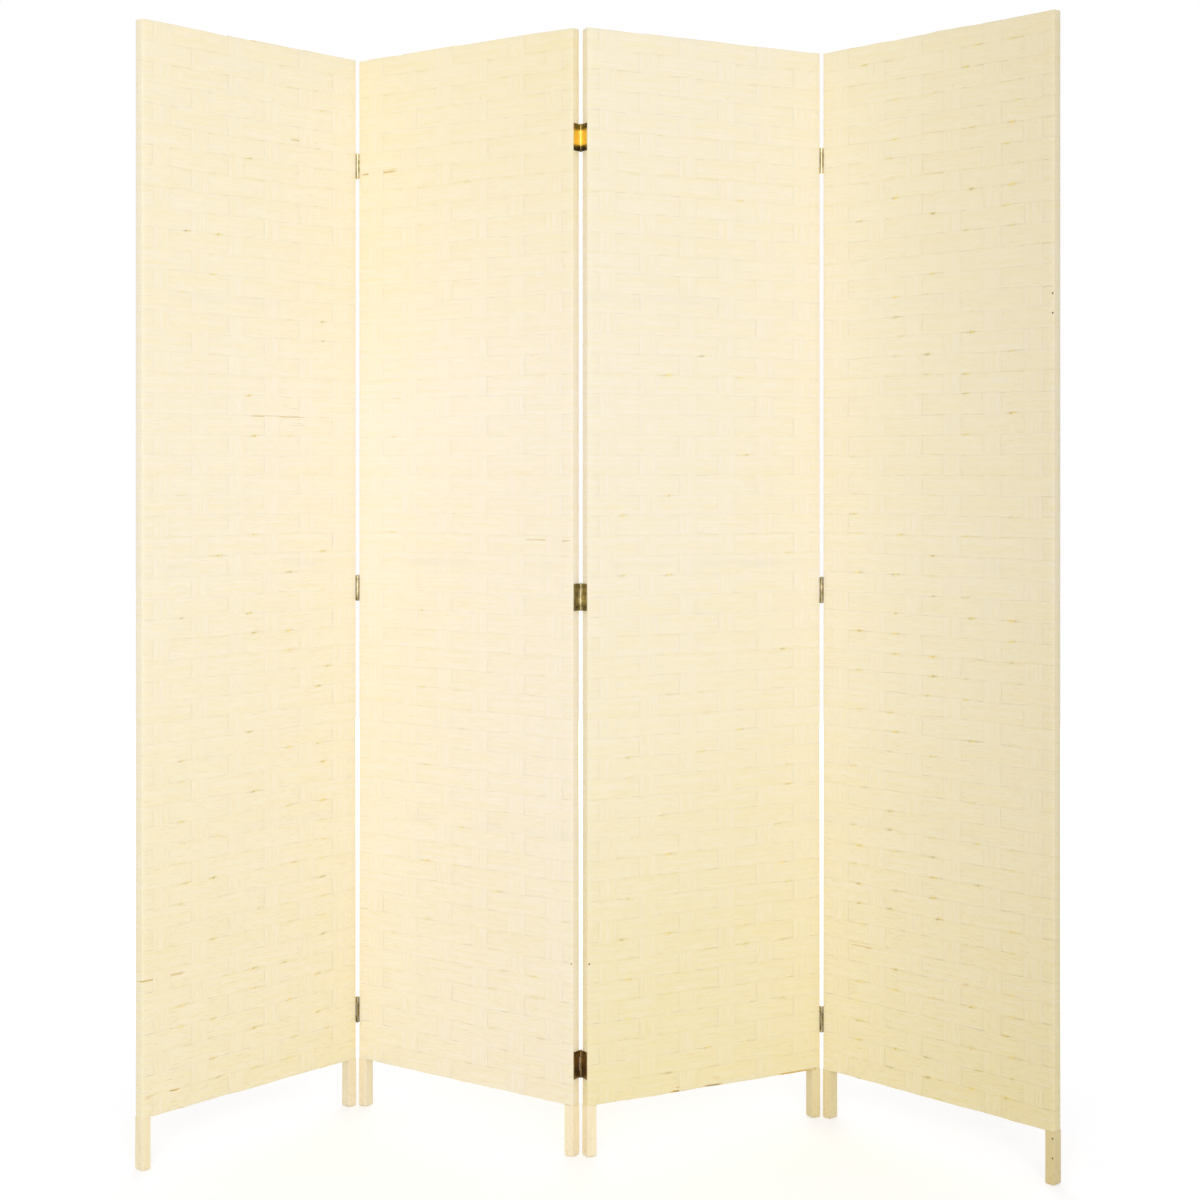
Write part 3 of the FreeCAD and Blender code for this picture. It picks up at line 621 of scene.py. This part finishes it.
def paper_strands():
    """Twisted paper seen close: a colour, part of it painted shade, a roughness and a height that follow each
    strand.
    """
    tree, given, result = new_group(
        "paper_strands", "ShaderNodeTree",
        {"Paper": "Color", "Shade": "Color", "Gap": "Color", "Line": "Color", "Fleck": "Color",
         "Mark": "Color", "Deep": "Color", "Slit": "Color", "Slit Core": "Color", "Over Rails": "Color",
         "Strands": "Float", "Lined": "Float", "Deeper Foot": "Float", "Shaded Top": "Float", "Stain And Shade": "Float",
         "Darkened From": "Float", "Darkened To": "Float", "Darkened Tint": "Color"},
        {"Colour": "Color", "Roughness": "Float", "Height": "Float"})
    lay, along, slit, mark = (
        place_node(tree, "ShaderNodeAttribute", attribute_name=name).outputs["Fac"]
        for name in ("lay", "along", "slit", "mark"))
    point = object_point(tree)
    height = coordinate(tree, point, "Z")
    strand = reckon(tree, "FLOOR", lay)
    seam = reckon(tree, "FLOOR", reckon(tree, "ADD", lay, 0.5))

    def along_line(line, length, start):
        """Noise along each strand or seam, with its own pattern on each."""
        x = reckon(tree, "DIVIDE", along, length)
        y = reckon(tree, "MULTIPLY_ADD", line, LINE_STEP, start)
        return noise(tree, combine(tree, x, y), 1.0, detail=2)

    # Paper, paler or darker by strand, streak and patch, darker and yellower at the foot, painted shade at
    # the top
    own_tone = place_node(
        tree, "ShaderNodeTexWhiteNoise", {"W": strand}, noise_dimensions="1D").outputs["Value"]
    streak = along_line(strand, *STREAKS)
    aged = noise(tree, point, AGED_PATCHES, detail=2)
    low_down = spread(tree, height, *FOOT_DEEPENS)
    high_up = spread(tree, height, *TOP_SHADED)
    shade = reckon(tree, "MULTIPLY", streak, STREAK_WEIGHT)
    shade = reckon(tree, "MULTIPLY_ADD", own_tone, STRAND_WEIGHT, shade)
    shade = reckon(tree, "MULTIPLY_ADD", aged, PATCH_WEIGHT, shade)
    # Darker and yellower towards the foot
    shade = reckon(tree, "MULTIPLY_ADD", low_down, given["Deeper Foot"], shade)
    # Painted shade towards the top of the panel
    shade = reckon(tree, "MULTIPLY_ADD", high_up, given["Shaded Top"], shade)
    colour = mix_colours(tree, spread(tree, shade, 0.35, 1.1), given["Paper"], given["Shade"])

    # Painted shade in seams where strands have parted, and in lines along the edges of bundles
    from_seam = reckon(tree, "ABSOLUTE", reckon(tree, "SUBTRACT", lay, seam))
    in_seam = spread(tree, from_seam, 0.16, 0.05)
    parted = spread(tree, along_line(seam, *PARTINGS), 0.50, 0.70, 0.04, 0.8)
    parted = reckon(tree, "MULTIPLY", parted, spread(tree, low_down, 0.0, 1.0, 0.5, 1.15))
    parted = reckon(tree, "MULTIPLY", parted, given["Stain And Shade"])
    colour = mix_colours(tree, reckon(tree, "MULTIPLY", in_seam, parted), colour, given["Gap"])
    bundle = reckon(tree, "DIVIDE", lay, reckon(tree, "ADD", given["Strands"], 1.0))
    edge = reckon(tree, "FLOOR", reckon(tree, "ADD", bundle, 0.5))
    within = reckon(tree, "MODULO", lay, reckon(tree, "ADD", given["Strands"], 1.0))
    from_edge = reckon(tree, "MINIMUM", within, reckon(tree, "SUBTRACT", given["Strands"], within))
    line = reckon(tree, "MULTIPLY", spread(tree, from_edge, 0.42, 0.12), given["Lined"])
    line = reckon(tree, "MULTIPLY", line, spread(tree, along_line(edge, *EDGE_LINES), 0.48, 0.66))
    colour = mix_colours(tree, line, colour, given["Line"])

    # Specks and fibres in the paper, the painted shade inside the slits, and the marked fibres
    specks = spread(tree, along_line(strand, *SPECKS), 0.74, 0.82, 0.0, 0.4)
    fibres = spread(tree, along_line(strand, *FIBRES), 0.77, 0.81, 0.0, 0.48)
    marks = reckon(tree, "MULTIPLY", mark, spread(tree, along_line(strand, *MARK_BREAKS), 0.2, 0.45))
    flecks = reckon(tree, "MULTIPLY", reckon(tree, "MAXIMUM", specks, fibres), given["Stain And Shade"])
    colour = mix_colours(tree, flecks, colour, given["Fleck"])
    core = spread(tree, along_line(edge, *SLIT_CORES), 0.46, 0.60)
    inside = mix_colours(tree, core, given["Slit"], given["Slit Core"])
    colour = mix_colours(tree, reckon(tree, "MULTIPLY", slit, given["Stain And Shade"]), colour, inside)
    colour = mix_colours(tree, marks, colour, given["Mark"])
    colour = mix_colours(tree, spread(tree, marks, 1.0, 2.0), colour, given["Deep"])

    # Greyer in patches where a rail backs the weave
    rail = reckon(tree, "DIVIDE", reckon(tree, "SUBTRACT", height, WEAVE_FOOT), RAIL_SPACING)
    from_rail = reckon(tree, "ABSOLUTE", reckon(tree, "SUBTRACT", rail, reckon(tree, "ROUND", rail)))
    on_rail = spread(tree, from_rail, 0.022, 0.008)
    rail_patches = spread(tree, noise(tree, point, RAIL_PATCHES, detail=4), 0.48, 0.7, 0.0, 0.2)
    colour = mix_colours(tree, reckon(tree, "MULTIPLY", on_rail, rail_patches), colour, given["Over Rails"])
    twist = reckon(tree, "MULTIPLY_ADD", along, TWIST_TURN, reckon(tree, "MULTIPLY", lay, TWIST_SLANT))
    feed(tree, result, {
        "Colour": painted_shade(
            tree, colour, point, given["Darkened From"], given["Darkened To"], given["Darkened Tint"]),
        "Roughness": spread(tree, streak, 0.3, 0.7, 0.62, 0.8),
        "Height": reckon(tree, "SINE", twist),
    })
    return tree


def toned(colour, number):
    """A paper colour as it is on one panel, with that panel's painted light and shade."""
    return tuple(part * tone for part, tone in zip(colour, PANEL_LIGHT_AND_SHADE[number])) + (1,)


def paper_finish(name, number, paper, shade, strand_count, lined):
    material, tree, shader = new_finish(name)
    start, end, tint = PAPER_PAINTED_SHADE[number]
    strands = place_group(tree, PAPER_STRANDS, {
        "Paper": toned(paper, number), "Shade": toned(shade, number), "Gap": PAPER_SEAM_SHADE, "Line": PAPER_EDGE_SHADE,
        "Fleck": PAPER_FLECK, "Mark": PAPER_MARK, "Deep": PAPER_DEEP, "Slit": SLIT_PAINTED_SHADE,
        "Slit Core": SLIT_CORE_PAINTED_SHADE, "Over Rails": PAPER_OVER_RAILS,
        "Strands": strand_count, "Lined": lined, "Stain And Shade": STAIN_AND_SHADE[number],
        "Deeper Foot": DEEPER_AT_FOOT[number], "Shaded Top": SHADED_TOPS[number],
        "Darkened From": start, "Darkened To": end, "Darkened Tint": tint})
    feed(tree, shader, {
        "Base Color": strands["Colour"],
        "Roughness": strands["Roughness"],
        "Specular IOR Level": PAPER_GLOSS,
        "Normal": bump(tree, strands["Height"], strength=0.12, distance=0.0002),
    })
    return material


def weave_grid(number):
    """Lowest and highest corner of a panel's cover, the pitch of its bands and that of its rows."""
    low, high = local_box(f"panel_{number}_woven_cover", number)
    return low, high, (high.x - low.x) / BANDS, (high.z - low.z) / ROWS


def woven(number, kind, route, inputs):
    """One panel's bundles in one direction, on its body, in place of the plain cover."""
    piece = grow(f"panel_{number}_{kind}", route, WOVEN_BUNDLES, inputs, panel_place[number])
    drop_columns(piece, "route", "step", "bundle", "reach", "turned", "bed", "outward")
    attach(piece, f"panel_{number}")
    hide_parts(f"panel_{number}_woven_cover")
    return piece


PAPER_STRANDS = paper_strands()
WOVEN_BUNDLES = woven_bundles(bundle_edge())
for number in PANELS:
    warp_paper = paper_finish(
        f"panel_{number}_warp_paper", number, WARP_PAPER, WARP_SHADE, BAND_STRANDS, BAND_EDGE_SHADE)
    low, high, band_pitch, row_rise = weave_grid(number)
    route = wrapping_route(f"panel_{number}_warp_route", low, high, 2, STEPS_PER_ROW * ROWS)
    woven(number, "warp", route, {
        "Bundles": BANDS,
        "Strands": BAND_STRANDS,
        "Pitch": band_pitch,
        "First": low.x + band_pitch / 2,
        "Width": BAND_WIDTH,
        "Spread": (1, 0, 0),
        "Edge Stride": 2.0,
        "Crossings": ROWS,
        "Crossing Pitch": row_rise,
        "Crossing First": low.z + row_rise / 2,
        "Lift": LIFT,
        "Ridge": STRAND_RIDGE,
        "Groove": BAND_GROOVE,
        "Wander": BAND_WANDER,
        "Slits At Foot": 0.0,
        "Slits At Top": 0.0,
        "Slit Depth": 0.0,
        "Flipped": False,
        "Seed": BAND_SEED + number,
        "Finish": warp_paper,
    })


# Weft bundles
# Fifty-three flat bundles of nine twisted paper strands to a panel, wound level round the frame, one packed
# on the next. Where two neighbours don't quite meet between bands there is a short slit, and its dim inside
# is painted shade.
ROW_STRANDS = 9
ROW_GROOVE = 0.00008
ROW_WANDER = 0.0018
ROW_SEED = 30
SLITS_AT_FOOT = {1: 0.75, 2: 0.40, 3: 0.75, 4: 0.95}
SLITS_AT_TOP = {1: 0.15, 2: 0.04, 3: 0.02, 4: 0.28}
SLIT_DEPTH = 0.00028
WEFT_PAPER = (0.94, 0.865, 0.70, 1)
WEFT_SHADE = (0.90, 0.79, 0.455, 1)
# Strength of the painted shade lines along the edges of the weft bundles, panel by panel
ROW_EDGE_SHADE = {1: 0.10, 2: 0.08, 3: 0.15, 4: 0.25}
# Brown fibres that stand out: from which place along the panel to which, at what height, and how strong.
# Past a strength of 1 a fibre turns nearly black.
FIBRE_MARKS = {
    1: ((0.215, 0.335, 1.174, 0.65), (0.305, 0.350, 1.634, 0.7), (0.000, 0.032, 0.294, 1.1),
        (0.032, 0.080, 0.294, 0.5), (0.006, 0.030, 0.113, 0.5), (0.053, 0.068, 0.113, 1.35)),
    2: ((0.002, 0.085, 1.590, 1.0), (0.355, 0.440, 0.974, 0.7)),
    3: ((0.149, 0.189, 0.081, 1.35), (0.212, 0.247, 0.081, 1.6), (0.366, 0.434, 0.081, 1.0)),
    4: ((0.060, 0.100, 0.300, 0.5),),
}
MARK_HEIGHT = 0.0011
HEM_MARK_HEIGHT = 0.0026


def mark_strands(weft, number, middle):
    """Marks the stretches of strand on the front that are brown fibre."""
    column = weft.data.attributes.new("mark", "FLOAT", "POINT")
    back = panel_place[number].inverted()
    for vertex, value in zip(weft.data.vertices, column.data):
        point = back @ vertex.co
        for start, end, height, strength in FIBRE_MARKS[number]:
            reach = MARK_HEIGHT if height > WEAVE_FOOT else HEM_MARK_HEIGHT
            if point.y < middle and start < point.x < end and abs(point.z - height) < reach:
                value.value = strength


for number in PANELS:
    weft_paper = paper_finish(
        f"panel_{number}_weft_paper", number, WEFT_PAPER, WEFT_SHADE, ROW_STRANDS, ROW_EDGE_SHADE[number])
    low, high, band_pitch, row_rise = weave_grid(number)
    route = wrapping_route(f"panel_{number}_weft_route", low, high, 0, STEPS_PER_GAP * BANDS)
    weft = woven(number, "weft", route, {
        "Bundles": ROWS,
        "Strands": ROW_STRANDS,
        "Pitch": row_rise,
        "First": low.z + row_rise / 2,
        "Width": row_rise,
        "Spread": (0, 0, 1),
        "Edge Stride": 1.0,
        "Crossings": BANDS,
        "Crossing Pitch": band_pitch,
        "Crossing First": low.x + band_pitch / 2,
        "Lift": -LIFT,
        "Ridge": STRAND_RIDGE,
        "Groove": ROW_GROOVE,
        "Wander": ROW_WANDER,
        "Slits At Foot": SLITS_AT_FOOT[number],
        "Slits At Top": SLITS_AT_TOP[number],
        "Slit Depth": SLIT_DEPTH,
        "Flipped": True,
        "Seed": ROW_SEED + number,
        "Finish": weft_paper,
    })
    mark_strands(weft, number, (low.y + high.y) / 2)


# Panel nails
# A few short round-headed steel nails, driven through the front of a panel close to its edge, where the weave
# or a joint of the frame had worked loose. Their heads have rusted, most of them nearly black.
NAIL_SIZES = {"Head Radius": 0.0014, "Head Height": 0.0005, "Shank Radius": 0.0006, "Length": 0.012}
NAIL_DARK = (0.07, 0.045, 0.02, 1)
NAIL_RUSTED = (0.50, 0.29, 0.10, 1)
NAIL_COLOURS = {2: NAIL_RUSTED, 3: NAIL_DARK, 4: NAIL_DARK}
NAIL_INSET = 0.0025
LEG_FACE = 0.0
# The edge that each nail is near, and its height
FRONT_NAILS = {
    2: (("right", 0.3055),),
    3: (("left", 0.3055),),
    4: (("right", 1.3545), ("right", 1.3245), ("right", 0.071), ("right", 0.041)),
}


def round_nails():
    """A domed nail on each point, driven straight back from the front."""
    tree, given, result = new_group(
        "round_nails", "GeometryNodeTree",
        {"Points": "Geometry", **dict.fromkeys(NAIL_SIZES, "Float"), "Finish": "Material"},
        {"Geometry": "Geometry"})
    ball = place_node(tree, "GeometryNodeMeshUVSphere", {
        "Segments": 16, "Rings": 8, "Radius": given["Head Radius"]}).outputs["Mesh"]
    flatness = reckon(tree, "DIVIDE", given["Head Height"], given["Head Radius"])
    head = place_node(tree, "GeometryNodeTransform", {
        "Geometry": ball, "Scale": combine(tree, 1.0, 1.0, flatness)}).outputs["Geometry"]
    shank = place_node(tree, "GeometryNodeMeshCone", {
        "Vertices": 12, "Radius Bottom": given["Shank Radius"], "Radius Top": 0.0001,
        "Depth": given["Length"]}).outputs["Mesh"]
    whole = place_node(tree, "GeometryNodeMeshBoolean", {"Mesh 2": head}, operation="UNION", solver="EXACT")
    tree.links.new(shank, whole.inputs["Mesh 2"])
    placed = place_node(tree, "GeometryNodeInstanceOnPoints", {
        "Points": given["Points"], "Instance": whole.outputs["Mesh"],
        "Rotation": (math.radians(-90), 0, 0)}).outputs["Instances"]
    close_tree(tree, result, placed, given["Finish"])
    return tree


ROUND_NAILS = round_nails()
for number, nails in FRONT_NAILS.items():
    nail_finish, tree, shader = new_finish(f"panel_{number}_nail_rust")
    feed(tree, shader, {"Base Color": NAIL_COLOURS[number], "Roughness": 0.7, "Specular IOR Level": 0.2})
    low, high = local_box(f"panel_{number}_woven_cover", number)
    across = {"left": low.x + NAIL_INSET, "right": high.x - NAIL_INSET}
    starts = bpy.data.meshes.new(f"panel_{number}_nail_points")
    starts.from_pydata([
        (across[edge], low.y if height > WEAVE_FOOT else LEG_FACE, height) for edge, height in nails], [], [])
    piece = grow(f"panel_{number}_nails", starts, ROUND_NAILS, {
        **NAIL_SIZES, "Finish": nail_finish}, panel_place[number])
    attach(piece, f"panel_{number}")


# Hinge leaves and pins
# Three small butt hinges to a fold, stamped and rolled from brass sheet, with a button-headed pin through the
# knuckles. They are old: the polish is gone from most of the metal, and brown tarnish has grown over it.
FOLDS = ("1_2", "2_3", "3_4")
HINGE_PLACES = ("top", "middle", "bottom")
HINGE_PIECES = ("left_leaf", "right_leaf", "pin")
BRASS_FADED = (0.76, 0.66, 0.42, 1)
BRASS_OLIVE = (0.52, 0.45, 0.25, 1)
BRASS_BROWN = (0.42, 0.28, 0.11, 1)
BRASS_POLISHED = (0.92, 0.69, 0.19, 1)
TARNISH_PALE = (0.26, 0.21, 0.09, 1)
TARNISH_DARK = (0.09, 0.065, 0.03, 1)
POLISH_REACH = 0.013
# Repeats to a metre of tarnished patches and of grime, and the grime's weight beside the patches
TARNISH_PATCHES = 70
GRIME = 520
GRIME_WEIGHT = 0.35


def hinge_height(fold, hinge_place):
    low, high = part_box(f"fold_{fold}_{hinge_place}_hinge_left_leaf")
    return (low[2] + high[2]) / 2


def tarnish():
    """Where old brass has gone dull: a share from 0 to 1, a roughness and a height."""
    tree, given, result = new_group(
        "tarnish", "ShaderNodeTree", {"Amount": "Float"},
        {"Share": "Float", "Roughness": "Float", "Height": "Float"})
    point = object_point(tree)
    patches = noise(tree, point, TARNISH_PATCHES, detail=5, roughness=0.6)
    grime = noise(tree, point, GRIME, detail=3)
    both = reckon(tree, "MULTIPLY_ADD", grime, GRIME_WEIGHT, patches)
    share = reckon(tree, "ADD", spread(tree, both, 0.45, 0.9, -0.5, 0.5), given["Amount"], clamp=True)
    feed(tree, result, {
        "Share": share,
        "Roughness": spread(tree, share, 0.0, 1.0, 0.24, 0.5),
        "Height": grime,
    })
    return tree


def brass_finish(name, bright, dull, amount, rubbed_at=None):
    """Old brass, rubbed bright again about one height where that is given."""
    material, tree, shader = new_finish(name)
    age = place_group(tree, TARNISH, {"Amount": amount})
    share = age["Share"]
    if rubbed_at:
        height = coordinate(tree, object_point(tree), "Z")
        away = reckon(tree, "ABSOLUTE", reckon(tree, "SUBTRACT", height, rubbed_at))
        left_dull = spread(tree, away, POLISH_REACH * 0.8, POLISH_REACH * 1.1, 0.1, 1.0)
        share = reckon(tree, "MULTIPLY", share, left_dull)
    feed(tree, shader, {
        "Base Color": mix_colours(tree, share, bright, dull),
        "Metallic": 1.0,
        "Roughness": age["Roughness"],
        "Normal": bump(tree, age["Height"], strength=0.15, distance=0.0001),
    })
    return material


TARNISH = tarnish()
outer_brass = {
    "top": brass_finish("faded_brass", BRASS_FADED, TARNISH_PALE, amount=0.2),
    "middle": brass_finish("worn_brass", BRASS_FADED, TARNISH_PALE, amount=0.65),
    "bottom": brass_finish("dull_brass", BRASS_FADED, TARNISH_PALE, amount=0.85),
}
centre_brass = {
    "top": brass_finish(
        "rubbed_brass", BRASS_POLISHED, TARNISH_DARK, amount=0.75, rubbed_at=hinge_height("2_3", "top")),
    "middle": brass_finish("olive_brass", BRASS_OLIVE, TARNISH_DARK, amount=0.32),
    "bottom": brass_finish("brown_brass", BRASS_BROWN, TARNISH_DARK, amount=0.42),
}
for fold in FOLDS:
    fold_brass = centre_brass if fold == "2_3" else outer_brass
    for hinge_place in HINGE_PLACES:
        for hinge_piece in HINGE_PIECES:
            finish_node(f"fold_{fold}_{hinge_place}_hinge_{hinge_piece}", fold_brass[hinge_place])


# Hinge screws
# Two countersunk brass wood screws hold each leaf to the edge of its panel, through the weave and into the
# stile. Their flat heads have a cross recess, turned each to its own angle as they were driven.
BRASS = (0.66, 0.49, 0.17, 1)
SCREW_SPREAD = 0.031
SCREW_SIZES = {
    "Head Radius": 0.0023,
    "Head Depth": 0.0010,
    "Shank Radius": 0.0012,
    "Length": 0.011,
    "Recess Length": 0.0027,
    "Recess Width": 0.0006,
    "Recess Depth": 0.0007,
}
SCREW_SEED = 5


def wood_screws():
    """A countersunk screw on each point, driven along the point's own direction."""
    tree, given, result = new_group(
        "wood_screws", "GeometryNodeTree",
        {"Points": "Geometry", **dict.fromkeys(SCREW_SIZES, "Float"), "Seed": "Int", "Finish": "Material"},
        {"Geometry": "Geometry"})
    head = place_node(tree, "GeometryNodeMeshCone", {
        "Vertices": 24, "Radius Bottom": given["Head Radius"], "Radius Top": given["Shank Radius"],
        "Depth": given["Head Depth"]}).outputs["Mesh"]
    sunk = reckon(tree, "MULTIPLY", given["Head Depth"], 0.5)
    # A shank a little thinner than the head's end, from halfway down the head
    shank = place_node(tree, "GeometryNodeMeshCone", {
        "Vertices": 24, "Radius Bottom": reckon(tree, "MULTIPLY", given["Shank Radius"], 0.98),
        "Radius Top": 0.0002, "Depth": reckon(tree, "SUBTRACT", given["Length"], sunk)}).outputs["Mesh"]
    shank = place_node(tree, "GeometryNodeTransform", {
        "Geometry": shank, "Translation": combine(tree, z=sunk)}).outputs["Geometry"]
    whole = place_node(tree, "GeometryNodeMeshBoolean", {"Mesh 2": head}, operation="UNION", solver="EXACT")
    tree.links.new(shank, whole.inputs["Mesh 2"])
    length, width = given["Recess Length"], given["Recess Width"]
    cut = place_node(
        tree, "GeometryNodeMeshBoolean", {"Mesh 1": whole.outputs["Mesh"]}, operation="DIFFERENCE",
        solver="EXACT")
    # Half of each arm stands above the head, and one is less deep, so that the two share no face
    deep = reckon(tree, "MULTIPLY", given["Recess Depth"], 2.0)
    shallower = reckon(tree, "MULTIPLY", deep, 0.9)
    for across, up, depth in ((length, width, deep), (width, length, shallower)):
        size = combine(tree, across, up, depth)
        arm = place_node(tree, "GeometryNodeMeshCube", {"Size": size}).outputs["Mesh"]
        tree.links.new(arm, cut.inputs["Mesh 2"])
    aim = place_node(tree, "FunctionNodeAlignRotationToVector", {
        "Vector": read(tree, "driven", "FLOAT_VECTOR")}, axis="Z").outputs["Rotation"]
    index = place_node(tree, "GeometryNodeInputIndex").outputs["Index"]
    angle = draw(tree, 0.0, math.pi, index, given["Seed"])
    twist = place_node(tree, "FunctionNodeEulerToRotation", {
        "Euler": combine(tree, z=angle)}).outputs["Rotation"]
    aim = place_node(tree, "FunctionNodeRotateRotation", {
        "Rotation": aim, "Rotate By": twist}, rotation_space="LOCAL").outputs["Rotation"]
    placed = place_node(tree, "GeometryNodeInstanceOnPoints", {
        "Points": given["Points"], "Instance": cut.outputs["Mesh"], "Rotation": aim}).outputs["Instances"]
    close_tree(tree, result, placed, given["Finish"])
    return tree


WOOD_SCREWS = wood_screws()
screw_brass = brass_finish("old_screw_brass", BRASS, TARNISH_DARK, amount=0.65)
for fold in FOLDS:
    left_panel, right_panel = (int(part) for part in fold.split("_"))
    for side, number, inward in (("left", left_panel, -1.0), ("right", right_panel, 1.0)):
        node = f"fold_{fold}_{side}_leaf_screws"
        low, high = local_box(node, number)
        head_face = high.x if inward < 0 else low.x
        middles = [hinge_height(fold, hinge_place) for hinge_place in HINGE_PLACES]
        heights = [middle + up * SCREW_SPREAD / 2 for middle in middles for up in (-1, 1)]
        starts = bpy.data.meshes.new(node + "_points")
        starts.from_pydata([(head_face, (low.y + high.y) / 2, height) for height in heights], [], [])
        driven = starts.attributes.new("driven", "FLOAT_VECTOR", "POINT")
        driven.data.foreach_set("vector", [inward, 0.0, 0.0] * len(heights))
        screws = grow(f"fold_{fold}_{side}_screws", starts, WOOD_SCREWS, {
            **SCREW_SIZES, "Seed": SCREW_SEED + number, "Finish": screw_brass}, panel_place[number])
        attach(screws, f"panel_{number}")
        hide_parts(node)


# Floor, light and camera
# A plain white floor and white surroundings, as in a studio, with soft light from all round, a large lamp in
# front and a weaker one behind. The camera stands level a little over three metres in front of the screen.
FLOOR_SIZE = 30.0
FLOOR_COLOUR = (0.86, 0.86, 0.86, 1)
# The floor is lifted to white for the camera, less so near the line of the screen, which keeps its shadow
FLOOR_GLOW = 0.43
GLOW_AT_FEET = (0.58, 0.60, 0.68, 1)
GLOW_SPREAD = (0.25, 0.9)
SURROUND_LIGHT = 0.70
WHITE = (1, 1, 1, 1)
LAMP_SIZE = 3.2
LAMP_AIM = (0, 0, 0.8)
FRONT_LAMP_PLACE = (-0.1, -5.2, 1.7)
FRONT_LAMP_POWER = 109
BACK_LAMP_PLACE = (0.3, 5.2, 1.7)
BACK_LAMP_POWER = 80
CAMERA_PLACE = (-0.1007, -3.2541, 1.0866)
CAMERA_LENS = 60.38
CAMERA_SHIFT = (0.06, -0.10867)


def seen(tree):
    """1 for what the camera sees, directly, in a reflection or through something."""
    path = place_node(tree, "ShaderNodeLightPath").outputs
    direct = reckon(tree, "MAXIMUM", path["Is Camera Ray"], path["Is Glossy Ray"])
    return reckon(tree, "MAXIMUM", direct, path["Is Transmission Ray"])


floor_mesh = bpy.data.meshes.new("floor")
half = FLOOR_SIZE / 2
corners = [(-half, -half, 0), (half, -half, 0), (half, half, 0), (-half, half, 0)]
floor_mesh.from_pydata(corners, [], [(0, 1, 2, 3)])
floor = bpy.data.objects.new("floor", floor_mesh)
bpy.context.scene.collection.objects.link(floor)
floor_white, tree, shader = new_finish("floor_white")
away = reckon(tree, "ABSOLUTE", coordinate(tree, object_point(tree), "Y"))
feed(tree, shader, {
    "Base Color": FLOOR_COLOUR,
    "Roughness": 0.9,
    "Specular IOR Level": 0.1,
    "Emission Color": mix_colours(tree, spread(tree, away, *GLOW_SPREAD), GLOW_AT_FEET, WHITE),
    "Emission Strength": reckon(tree, "MULTIPLY", seen(tree), FLOOR_GLOW),
})
floor_mesh.materials.append(floor_white)

world = bpy.data.worlds.new("surroundings")
world.use_nodes = True
tree = world.node_tree
background = tree.nodes["Background"]
feed(tree, background, {
    "Color": WHITE,
    "Strength": spread(tree, seen(tree), 0.0, 1.0, SURROUND_LIGHT, 1.0),
})
bpy.context.scene.world = world


def soft_lamp(name, place, power):
    data = bpy.data.lights.new(name, "AREA")
    data.shape = "SQUARE"
    data.size = LAMP_SIZE
    data.energy = power
    lamp = bpy.data.objects.new(name, data)
    lamp.location = place
    lamp.rotation_euler = (Vector(LAMP_AIM) - Vector(place)).to_track_quat("-Z", "Y").to_euler()
    bpy.context.scene.collection.objects.link(lamp)


soft_lamp("front_lamp", FRONT_LAMP_PLACE, FRONT_LAMP_POWER)
soft_lamp("back_lamp", BACK_LAMP_PLACE, BACK_LAMP_POWER)

camera_data = bpy.data.cameras.new("camera")
camera_data.lens = CAMERA_LENS
camera_data.shift_x, camera_data.shift_y = CAMERA_SHIFT
camera = bpy.data.objects.new("camera", camera_data)
camera.location = CAMERA_PLACE
camera.rotation_euler = (math.radians(90), 0, 0)
bpy.context.scene.collection.objects.link(camera)
bpy.context.scene.camera = camera
bpy.context.scene.view_settings.view_transform = "Standard"
